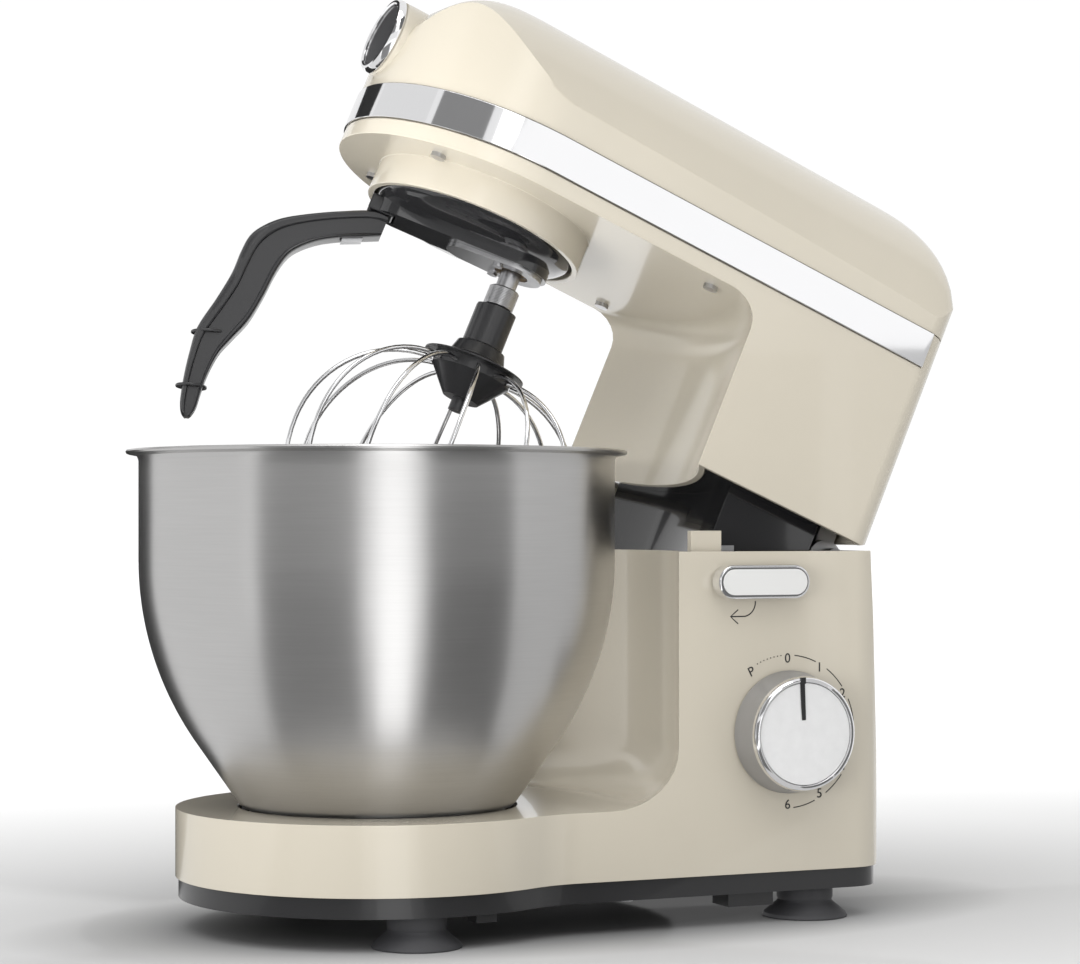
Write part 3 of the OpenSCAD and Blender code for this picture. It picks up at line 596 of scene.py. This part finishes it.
def make_cap():
    """The hub cap: a chrome ring on a plug, and a dark disc in it."""
    turn = Matrix.Translation((-NOSE_R - 1.3, 0, CAP_Z)) @ Matrix.Rotation(-math.pi / 2, 4, "Y")
    plug = [(0, -7.5), (11.6, -7.5), (11.6, 0), (18.2, 0), (19, 0.8), (18.8, 2.6)]
    ring = [(17.8, 4.0), (16.6, 4.2), (15.9, 3.6), (15.8, 1.6), (0, 1.5)]
    rim = turned("cap_rim", plug + ring, 96)
    smooth(rim, 40)
    settle(rim, lifted=True, extra=turn)
    give(rim, "hub_cap", "chrome", "hub_cap_ring")
    disc = turned("cap_disc", [(0, 1.6), (15.6, 1.6), (15.6, 2.5), (15.1, 3.0), (0, 3.2)], 96)
    smooth(disc, 30)
    settle(disc, lifted=True, extra=turn)
    give(disc, "hub_cap", "cap_grey", "hub_cap_disc")


# ---- whisk and arm ------------------------------------------------------


def arm_place():
    return Matrix.Rotation(PHASE, 4, "Z")


def whisk_place():
    return arm_place() @ Matrix.Translation((ORBIT, 0, 0))


def wire_path(low):
    """One loop: two quarter ovals down each side, joined at its low point."""
    rise = DISC_Z - WIRE_R - 0.1 - BALLOON_Z
    spread = WHISK_R - WIRE_START
    side = [(WIRE_START + spread * x, BALLOON_Z + rise * z) for x, z in arc(0, 0, 1, 90, 0, 18)]
    side += [(WHISK_R * x, BALLOON_Z + (BALLOON_Z - low) * z) for x, z in arc(0, 0, 1, -5, -85, 16)]
    return [(x, 0, z) for x, z in side] + [(0, 0, low)] + [(-x, 0, z) for x, z in reversed(side)]


def make_whisk():
    """Crossed wire loops in a plastic socket, and the spring over it."""
    loops = []
    for i in range(LOOPS):
        wire = tube(f"wire_{i}", wire_path(BALLOON_LOW + i * LOOP_STEP), WIRE_R, sides=3)
        wire.data.transform(Matrix.Rotation(math.pi * i / LOOPS, 4, "Z"))
        loops.append(wire)
    wires = join("whisk_loops", loops)
    smooth(wires, 60)
    settle(wires, lifted=True, extra=whisk_place())
    give(wires, "whisk", "chrome", "whisk_wires")
    hub = cad_copy("whisk_socket", "whisk_hub")
    bevel(hub, 0.0006, 2, 30)
    smooth(hub, 40)
    give(hub, "whisk", "dark_plastic", "whisk_hub")
    turns = arc(0, 0, SPRING_R, 0, 12 * 360, 120)
    coil = [(x, y, lerp(*SPRING_Z, i / 120)) for i, (x, y) in enumerate(turns)]
    spring = tube("whisk_spring", coil, 0.9, sides=3)
    smooth(spring, 60)
    settle(spring, lifted=True, extra=whisk_place())
    give(spring, "whisk", "steel", "shaft_spring")


# the arm's upper and under edges as reach and height, and its section as depth and half width
ARM_UPPER = [(40, 239.6), (48, 239.4), (62, 233), (75, 226), (86, 219), (93, 212), (97, 205), (98, 196),
             (98, 185), (100, 171), (103, 155), (102, 143), (100, 131), (97.5, 121), (95, 115.5),
             (92.5, 113.6)]
ARM_UNDER = [(40, 229), (47, 225.6), (57, 221), (66, 215.5), (73, 209), (77, 202.5), (79, 193), (80, 180),
             (82, 167), (86, 156), (89, 147), (90, 136), (89.6, 127), (89, 120), (89.6, 116), (90.6, 114.2)]
ARM_SECTION = [(0, 0.62), (0.03, 0.86), (0.10, 1), (0.24, 1), (0.29, 0.93), (0.31, 0.8), (0.86, 0.8),
               (0.885, 0.93), (0.94, 1), (0.98, 0.9), (1, 0.6)]


def spline(points, steps):
    """A smooth run of points through the given ones."""
    run = []
    last = len(points) - 1
    for i in range(last):
        a, b, c, d = (Vector(points[min(max(k, 0), last)]) for k in (i - 1, i, i + 1, i + 2))
        for k in range(steps):
            t = k / steps
            run.append(0.5 * (2 * b + (c - a) * t + (2 * a - 5 * b + 4 * c - d) * t * t
                              + (3 * b - a - 3 * c + d) * t ** 3))
    return run + [Vector(points[-1])]


def make_arm():
    """The scraper arm: two rims with a sunk web between them, narrowing to the tip, and two wipers."""
    upper, under = spline(ARM_UPPER, 5), spline(ARM_UNDER, 5)
    section = ARM_SECTION + [(a, -b) for a, b in reversed(ARM_SECTION)]
    rows = []
    for i, (top, low) in enumerate(zip(upper, under)):
        share = i / (len(upper) - 1)
        half = lerp(7.5, 5.2, max(0, share - 0.5) * 2)
        rows.append([(-lerp(top.x, low.x, a), b * half, lerp(top.y, low.y, a)) for a, b in section])
    arm = loft("scraper", rows)

    def cap_ends():
        bpy.ops.mesh.fill_holes(sides=0)
        bpy.ops.mesh.select_all(action="SELECT")
        bpy.ops.mesh.normals_make_consistent(inside=False)

    edit(arm, cap_ends)
    bevel(arm, 0.35, 2, 40)
    smooth(arm, 40)
    parts = [arm]
    for reach, z, lean, size in ((97, 154.5, -0.34, 8.4), (94.8, 127.5, -0.3, 7.4)):
        oval = [(size * math.cos(a), 7.9 * math.sin(a), 0) for a in (math.tau * k / 48 for k in range(48))]
        wiper = extruded("wiper", oval, (0, 0, 1.4))
        bevel(wiper, 0.5, 3, 40)
        smooth(wiper, 40)
        wiper.data.transform(Matrix.Translation((-reach, 0, z)) @ Matrix.Rotation(lean, 4, "Y"))
        parts.append(wiper)
    foot = [(-51, -7.4, 239.6), (-38, -7.4, 239.6), (-38, 7.4, 239.6), (-51, 7.4, 239.6)]
    root = extruded("arm_root", foot, (0, 0, 7.8))
    bevel(root, 0.8, 2, 40)
    parts.append(root)
    arm = join("scraper", parts)
    settle(arm, lifted=True, extra=arm_place())
    give(arm, "planetary", "dark_plastic", "scraper_arm")


def make_carrier():
    """The carrier's dark dish with the long block under it."""
    block = cad_copy("carrier_block", "planet_carrier")
    bevel(block, 0.0008, 2, 35)
    smooth(block, 40)
    bulge = [(9, 243.4), (22, 243.4), (36, 244.0), (44, 245.9), (48.4, 248.6), (50, 251.2), (50, 256)]
    dish = turned("carrier_dish", bulge + [(47, 256), (44, 252), (9, 248)], 128)
    smooth(dish, 35)
    settle(dish, lifted=True)
    carrier = join("carrier_block", [block, dish])
    give(carrier, "planetary", "dark_plastic", "planet_carrier", finish="gloss_black")


# ---- controls -----------------------------------------------------------


def on_panel(x, z):
    """Turns a mesh made with +z outwards onto the control side of the column."""
    return Matrix.Translation((x, PANEL_Y, z)) @ Matrix.Rotation(math.pi / 2, 4, "X")


def knob_place():
    return on_panel((KNOB.x - BOWL_AXIS.x) / MM, KNOB.z / MM)


def make_knob():
    """A satin drum with a chrome lip, a dished face and a pointer that runs over the lip."""
    drum = [(3.1, 0.6), (27.8, 0.6), (29, 1.2), (29, 2.4), (28.6, 3.2), (27.0, 15), (3.1, 15)]
    body = turned("knob_body", drum, 128)
    smooth(body, 35)
    settle(body, extra=knob_place())
    give(body, "knob", "chrome", "speed_knob", finish="satin_metal")
    lip = [(23.9, 15), (27.0, 15), (26.8, 16.4), (26.2, 17.7), (25.2, 18.3), (24.4, 18.0), (23.9, 17.0)]
    rim = turned("knob_rim", lip, 128)
    smooth(rim, 35)
    settle(rim, extra=knob_place())
    give(rim, "knob", "chrome")
    dished = [(0, 15.95), (23.8, 15.95), (23.8, 17.2), (22.6, 17.0), (14, 16.5), (0, 16.3)]
    face = turned("knob_dish", dished, 128)
    smooth(face, 30)
    settle(face, extra=knob_place())
    give(face, "knob", "brushed_steel", "knob_face", finish="face_steel")
    on_face = [(-1, 6.5, 16.2), (1, 6.5, 16.2), (1.2, 23.8, 17.0), (-1.2, 23.8, 17.0)]
    on_lip = [(-1.2, 23.6, 17.0), (1.2, 23.6, 17.0), (1.3, 26.6, 17.2), (-1.3, 26.6, 17.2)]
    line = extruded("knob_line", on_face, (0, 0, 0.5))
    notch = extruded("knob_notch", on_lip, (0, 0, 1.4))
    pointer = join("knob_line", [line, notch])
    settle(pointer, extra=knob_place() @ Matrix.Rotation(math.radians(4), 4, "Z"))
    give(pointer, "knob", "dark_plastic", "knob_pointer")


def pill(length, height):
    """A bar's outline with round ends, from the middle of its left end."""
    r = height / 2
    return arc(length - height, 0, r, -90, 90, 16) + arc(0, 0, r, 90, 270, 16)


def make_lever():
    """A chrome bar with round ends and a pale inlay."""
    place = on_panel((LEVER.x - BOWL_AXIS.x) / MM, LEVER.z / MM)
    body = extruded("lever_body", [(x, y, 0.9) for x, y in pill(48.5, 16)], (0, 0, 8.4))
    bevel(body, 1.3, 4, 40)
    smooth(body, 40)
    settle(body, extra=place)
    give(body, "lever", "chrome", "release_lever")
    face = extruded("lever_inlay", [(x, y, 9.2) for x, y in pill(44.6, 12.1)], (0, 0, 0.5))
    bevel(face, 0.3, 2, 40)
    smooth(face, 40)
    settle(face, extra=place)
    give(face, "lever", "lever_white", "lever_face")


def on_dial(angle, radius):
    """A place on the panel round the knob, angle clockwise from the top, in degrees."""
    a = math.radians(angle)
    return radius * math.sin(a), radius * math.cos(a)


def stroke(name, points, width):
    """A printed line through flat points, a hair proud of the panel."""
    line = tube(name, [(x, y, 0) for x, y in points], width / 2, sides=2)
    line.data.transform(Matrix.Translation((0, 0, 0.05)) @ Matrix.Diagonal((1, 1, 0.25, 1)))
    return line


def figure(text, angle):
    """One printed figure of the dial."""
    lone()
    bpy.ops.object.text_add()
    obj = bpy.context.object
    obj.data.body = text
    obj.data.size = 6.4
    obj.data.extrude = 0.06
    obj.data.offset = 0.012
    obj.data.align_x = "CENTER"
    obj.data.align_y = "CENTER"
    bpy.ops.object.convert(target="MESH")
    obj = bpy.context.object
    x, y = on_dial(angle, FIGURE_R)
    lean = math.radians(28) if text == "P" else 0
    obj.data.transform(Matrix.Translation((x, y, 0.08)) @ Matrix.Rotation(lean, 4, "Z"))
    return obj


def make_dial():
    """The figures and lines round the knob, and the turn sign under the lever."""
    marks = [figure("P", -34)] + [figure(str(i), 30 * i) for i in range(7)]
    for i in range(6):
        start, end = 30 * i + 6, 30 * i + 25
        marks.append(stroke("dial_arc", [on_dial(lerp(start, end, k / 6), DIAL_R) for k in range(7)], 0.5))
    for angle in range(-27, -5, 3):
        marks.append(stroke("dial_dot", [on_dial(angle, DIAL_R), on_dial(angle + 0.8, DIAL_R)], 0.6))
    dial = join("dial_print", marks)
    settle(dial, extra=knob_place())
    give(dial, "base", "dark_plastic", finish="ink")
    tail = stroke("turn_sign", arc(-7, 7, 6.6, 5, -82, 12) + [(-13.4, 0.4)], 0.6)
    point = stroke("turn_sign", [(-9.6, 3.6), (-13.6, 0.4), (-9.6, -3.0)], 0.6)
    sign = join("lever_sign", [tail, point])
    settle(sign, extra=on_panel(*SIGN_PLACE))
    give(sign, "base", "dark_plastic", finish="ink")


# ---- stage --------------------------------------------------------------


def area_light(name, place, target, size, power):
    """A soft lamp aimed at a target."""
    lone()
    bpy.ops.object.light_add(type="AREA", location=place)
    lamp = bpy.context.object
    lamp.name = name
    lamp.data.shape = "RECTANGLE"
    lamp.data.size, lamp.data.size_y = size
    lamp.data.energy = power
    lamp.rotation_mode = "QUATERNION"
    lamp.rotation_quaternion = (Vector(target) - Vector(place)).to_track_quat("-Z", "Y")
    lamp.visible_camera = lamp.visible_glossy = False


def glow(name, strength):
    """An even white light with nothing under it."""
    return Maker(name, Roughness=1.0, Emission_Strength=strength, Emission_Color=(1, 1, 1, 1),
                 Base_Color=(0, 0, 0, 1)).material


def card(name, corners, strength):
    """A bright or dark sheet that only reflections see."""
    lone()
    bpy.ops.mesh.primitive_plane_add(size=1)
    obj = bpy.context.object
    obj.name = name
    for vertex, corner in zip(obj.data.vertices, corners):
        vertex.co = corner
    obj.data.materials.append(glow(name, strength))
    obj.visible_camera = obj.visible_diffuse = obj.visible_shadow = obj.visible_transmission = False


def around(angle, radius, z):
    """A place round the bowl; angle in degrees to the right of the camera, seen from the bowl."""
    a = math.radians(180 + bpy.context.scene.mixer_stage.azimuth - angle)
    return Vector((BOWL_AXIS.x + radius * math.sin(a), radius * math.cos(a), z))


# sectors round the bowl: edges in degrees right of the camera, and how bright they look in the metal
SECTORS = (
    ("bright", 3, 18, 1.8),
    ("flag_right", 24, 66, 0.15),
    ("side_right", 68, 112, 0.6),
    ("back_right", 112, 160, 0.95),
    ("soft_left", -50, -4, 0.25),
    ("side_left", -120, -56, 0.8),
    ("flag_left", -174, -124, 0.02),
)
SECTOR_STEP = 20
UNDER, NEAR, FAR = 0.14, 0.62, 3.0  # radii of the floor strips' inner edge, the low cards and the high ones
FLOOR_GAP, LOW_TOP, HIGH_FOOT, HIGH_TOP = 0.002, 0.3, 1.5, 5
WINDOW = (18, 17, 4, 1.1)  # first edge and width of the window's cards in degrees, their count and strength

# lamps: place, target, size and power; the small ones stand for light that the bright metal throws back
BOUNCES = (
    ("recess_bounce", (0.029, 0, 0.14), (0.2, 0, 0.13), (0.12, 0.16), 0.3),
    ("neck_bounce", (-0.2, -0.12, 0.27), (0.05, 0, 0.36), (0.15, 0.15), 2.5),
    ("foot_bounce", (-0.09, -0.1, 0.15), (-0.08, -0.07, 0.03), (0.2, 0.05), 0.4),
)
SUN_TURN = (math.radians(22), math.radians(-14), 0)
SUN_WIDTH = math.radians(50)
CAMERA_PLACE = (-0.469, -1.2306, 0.1898)  # from the bowl's axis
BACKDROP_AT = 12


def sheet(name, start, end, low, high, strength):
    """A card between two angles and two edges, each edge a radius and a height."""
    corners = [around(angle, *edge) for edge in (low, high) for angle in (start, end)]
    card(name, corners, strength)


def make_cards():
    """Low cards and floor strips that band the bowl, and high ones over a window for the head's band."""
    for name, start, end, strength in SECTORS:
        parts = 1 + int((end - start) / SECTOR_STEP)
        for k in range(parts):
            a, b = (lerp(start, end, n / parts) for n in (k, k + 1))
            sheet(f"card_{name}_{k}", a, b, (NEAR, 0), (NEAR, LOW_TOP), strength)
            sheet(f"strip_{name}_{k}", a, b, (UNDER, FLOOR_GAP), (NEAR, FLOOR_GAP), strength)
            sheet(f"high_{name}_{k}", a, b, (FAR, HIGH_FOOT), (FAR, HIGH_TOP), strength)
    first, width, count, strength = WINDOW
    for k in range(count):
        a = first + width * k
        sheet(f"window_{k}", a, a + width, (FAR, 0), (FAR, HIGH_FOOT), strength)


def make_floor():
    """A pale worktop with a painted soft shadow: its colour deepens towards the mixer's foot."""
    lone()
    bpy.ops.mesh.primitive_plane_add(size=30)
    floor = bpy.context.object
    floor.name = "worktop"
    paper = Maker("floor_with_painted_shadow", Roughness=0.7)
    # painted shadow: the colour runs from dark grey under the base, through mid grey, to the pale worktop
    # farther out
    reach = paper.distance((0.5, 1, 1))
    near = paper.tint((reach - 0.06) * 14, (0.1, 0.1, 0.1, 1), (0.5, 0.5, 0.5, 1))
    paper.varying("Base Color", paper.tint((reach - 0.12) * 1.8, near, (0.95, 0.95, 0.95, 1)))
    floor.data.materials.append(paper.material)


def make_backdrop(turn):
    """A white wall behind the mixer that only the camera sees."""
    lone()
    place = (BACKDROP_AT * math.sin(turn), BACKDROP_AT * math.cos(turn), 10)
    bpy.ops.mesh.primitive_plane_add(size=40, location=place, rotation=(math.pi / 2, 0, -turn))
    backdrop = bpy.context.object
    backdrop.name = "backdrop"
    backdrop.data.materials.append(glow("backdrop_white", 1.0))
    backdrop.visible_diffuse = backdrop.visible_glossy = backdrop.visible_shadow = False


def make_lights(look):
    """White surroundings, a broad light from above, two soft lamps and the bounces."""
    world = bpy.context.scene.world or bpy.data.worlds.new("studio")
    bpy.context.scene.world = world
    world.use_nodes = True
    background = world.node_tree.nodes["Background"]
    background.inputs["Color"].default_value = (1, 1, 1, 1)
    background.inputs["Strength"].default_value = look.fill
    lone()
    bpy.ops.object.light_add(type="SUN", rotation=SUN_TURN)
    sun = bpy.context.object
    sun.data.energy = look.sun
    sun.data.angle = SUN_WIDTH
    area_light("low_fill", (-1.3, -0.9, 0.16), (0.05, 0, 0.33), (0.9, 0.5), look.low)
    area_light("left_fill", (-0.9, -0.25, 0.30), (0.13, 0, 0.33), (0.5, 0.4), look.left)
    for name, place, target, size, share in BOUNCES:
        area_light(name, place, target, size, share * look.bounce)


def make_camera(look, turn):
    """A long lens, level and low, to the left of the controls."""
    lone()
    x, y, z = CAMERA_PLACE
    bpy.ops.object.camera_add(location=(BOWL_AXIS.x + x, y, z), rotation=(math.pi / 2, 0, -turn))
    camera = bpy.context.object
    camera.data.lens = look.lens
    camera.data.sensor_width = 36
    camera.data.shift_y = look.shift
    camera.data.clip_start = 0.05
    bpy.context.scene.camera = camera


def make_stage():
    """The worktop, backdrop, lights and camera."""
    look = bpy.context.scene.mixer_stage
    turn = math.radians(look.azimuth)
    make_floor()
    make_backdrop(turn)
    make_cards()
    make_lights(look)
    make_camera(look, turn)
    bpy.context.scene.view_settings.view_transform = "Standard"


def dress_cad():
    """Gives every CAD node that still shows the finish of its slot."""
    slots = {part["node"]: part["material_slot"] for part in frame["record"]["subparts"]}
    for node, obj in frame["nodes"].items():
        for slot in obj.material_slots:
            slot.material = finish_of(slots[node])


# ---- the add-on ---------------------------------------------------------


class MixerFinishes(bpy.types.PropertyGroup):
    shell_color: bpy.props.FloatVectorProperty(
        name="Shell colour", description="Colour of the moulded shells", subtype="COLOR", size=3,
        default=(0.5, 0.46, 0.38), min=0, max=1)
    trim_color: bpy.props.FloatVectorProperty(
        name="Dark trim colour", description="Colour of the black plastic pieces", subtype="COLOR", size=3,
        default=(0.014, 0.014, 0.015), min=0, max=1)
    bowl_roughness: bpy.props.FloatProperty(
        name="Bowl roughness", description="How softly the brushed bowl reflects",
        default=0.3, min=0.1, max=0.7)


class MixerStage(bpy.types.PropertyGroup):
    azimuth: bpy.props.FloatProperty(
        name="Azimuth", description="Turn of the camera from the bowl's end, in degrees", default=24.2)
    lens: bpy.props.FloatProperty(
        name="Lens", description="Focal length in millimetres", default=92.72, min=20, max=300)
    fill: bpy.props.FloatProperty(
        name="Fill", description="Strength of the even white surroundings", default=0.92, min=0, max=3)
    sun: bpy.props.FloatProperty(
        name="Top light", description="Strength of the broad light from above", default=1.15, min=0, max=10)
    low: bpy.props.FloatProperty(
        name="Low fill", description="Power of the soft lamp that reaches the undersides",
        default=10, min=0, max=50)
    left: bpy.props.FloatProperty(
        name="Left fill", description="Power of the soft lamp that reaches the neck",
        default=1.0, min=0, max=50)
    bounce: bpy.props.FloatProperty(
        name="Bounce", description="Scale of the small lamps that stand for light thrown back by the metal",
        default=0.12, min=0, max=5)
    shift: bpy.props.FloatProperty(
        name="Shift", description="Upward shift of the view, as a share of its width", default=0.037)


class MIXER_OT_dress(bpy.types.Operator):
    """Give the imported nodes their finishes"""

    bl_idname = "mixer.dress"
    bl_label = "Dress frame"

    def execute(self, context):
        dress_cad()
        return {"FINISHED"}


class MIXER_OT_base(bpy.types.Operator):
    """Model the base, column and pan"""

    bl_idname = "mixer.base"
    bl_label = "Base"

    def execute(self, context):
        make_base()
        return {"FINISHED"}


class MIXER_OT_feet(bpy.types.Operator):
    """Model the suction feet"""

    bl_idname = "mixer.feet"
    bl_label = "Feet"

    def execute(self, context):
        make_feet()
        return {"FINISHED"}


class MIXER_OT_bowl(bpy.types.Operator):
    """Model the steel bowl"""

    bl_idname = "mixer.bowl"
    bl_label = "Bowl"

    def execute(self, context):
        make_bowl()
        return {"FINISHED"}


class MIXER_OT_head_top(bpy.types.Operator):
    """Model the head's top cover"""

    bl_idname = "mixer.head_top"
    bl_label = "Head top"

    def execute(self, context):
        make_head_top()
        return {"FINISHED"}


class MIXER_OT_head_low(bpy.types.Operator):
    """Model the head's lower cover and the neck's dark cover"""

    bl_idname = "mixer.head_low"
    bl_label = "Head lower shell"

    def execute(self, context):
        make_head_low()
        return {"FINISHED"}


class MIXER_OT_band(bpy.types.Operator):
    """Model the chrome band"""

    bl_idname = "mixer.band"
    bl_label = "Band"

    def execute(self, context):
        make_band()
        return {"FINISHED"}


class MIXER_OT_cap(bpy.types.Operator):
    """Model the front hub's cap"""

    bl_idname = "mixer.cap"
    bl_label = "Hub cap"

    def execute(self, context):
        make_cap()
        return {"FINISHED"}


class MIXER_OT_carrier(bpy.types.Operator):
    """Model the planetary carrier"""

    bl_idname = "mixer.carrier"
    bl_label = "Carrier"

    def execute(self, context):
        make_carrier()
        return {"FINISHED"}


class MIXER_OT_arm(bpy.types.Operator):
    """Model the scraper arm"""

    bl_idname = "mixer.arm"
    bl_label = "Scraper arm"

    def execute(self, context):
        make_arm()
        return {"FINISHED"}


class MIXER_OT_whisk(bpy.types.Operator):
    """Model the whisk"""

    bl_idname = "mixer.whisk"
    bl_label = "Whisk"

    def execute(self, context):
        make_whisk()
        return {"FINISHED"}


class MIXER_OT_knob(bpy.types.Operator):
    """Model the speed knob"""

    bl_idname = "mixer.knob"
    bl_label = "Speed knob"

    def execute(self, context):
        make_knob()
        return {"FINISHED"}


class MIXER_OT_lever(bpy.types.Operator):
    """Model the release lever"""

    bl_idname = "mixer.lever"
    bl_label = "Release lever"

    def execute(self, context):
        make_lever()
        return {"FINISHED"}


class MIXER_OT_dial(bpy.types.Operator):
    """Print the dial's figures and the lever's sign"""

    bl_idname = "mixer.dial"
    bl_label = "Dial"

    def execute(self, context):
        make_dial()
        return {"FINISHED"}


class MIXER_OT_stage(bpy.types.Operator):
    """Set the floor, lights and camera"""

    bl_idname = "mixer.stage"
    bl_label = "Stage"

    def execute(self, context):
        make_stage()
        return {"FINISHED"}


STEPS = (
    MIXER_OT_dress, MIXER_OT_base, MIXER_OT_feet, MIXER_OT_bowl, MIXER_OT_head_top,
    MIXER_OT_head_low, MIXER_OT_band, MIXER_OT_cap, MIXER_OT_carrier, MIXER_OT_arm, MIXER_OT_whisk,
    MIXER_OT_knob, MIXER_OT_lever, MIXER_OT_dial, MIXER_OT_stage,
)


class MIXER_PT_panel(bpy.types.Panel):
    """Lists the mixer's pieces in the sidebar"""

    bl_label = "Mixer"
    bl_space_type = "VIEW_3D"
    bl_region_type = "UI"
    bl_category = "Mixer"

    def draw(self, context):
        for group in (context.scene.mixer_finishes, context.scene.mixer_stage):
            for name in group.__annotations__:
                self.layout.prop(group, name)
        for step in STEPS:
            self.layout.operator(step.bl_idname)


CLASSES = (MixerFinishes, MixerStage, *STEPS, MIXER_PT_panel)


def register():
    for cls in CLASSES:
        bpy.utils.register_class(cls)
    bpy.types.Scene.mixer_finishes = bpy.props.PointerProperty(type=MixerFinishes)
    bpy.types.Scene.mixer_stage = bpy.props.PointerProperty(type=MixerStage)


def unregister():
    del bpy.types.Scene.mixer_finishes
    del bpy.types.Scene.mixer_stage
    for cls in reversed(CLASSES):
        bpy.utils.unregister_class(cls)


def main():
    register()
    for step in STEPS:
        getattr(bpy.ops.mixer, step.bl_idname.split(".")[1])()


if __name__ == "__main__":
    main()
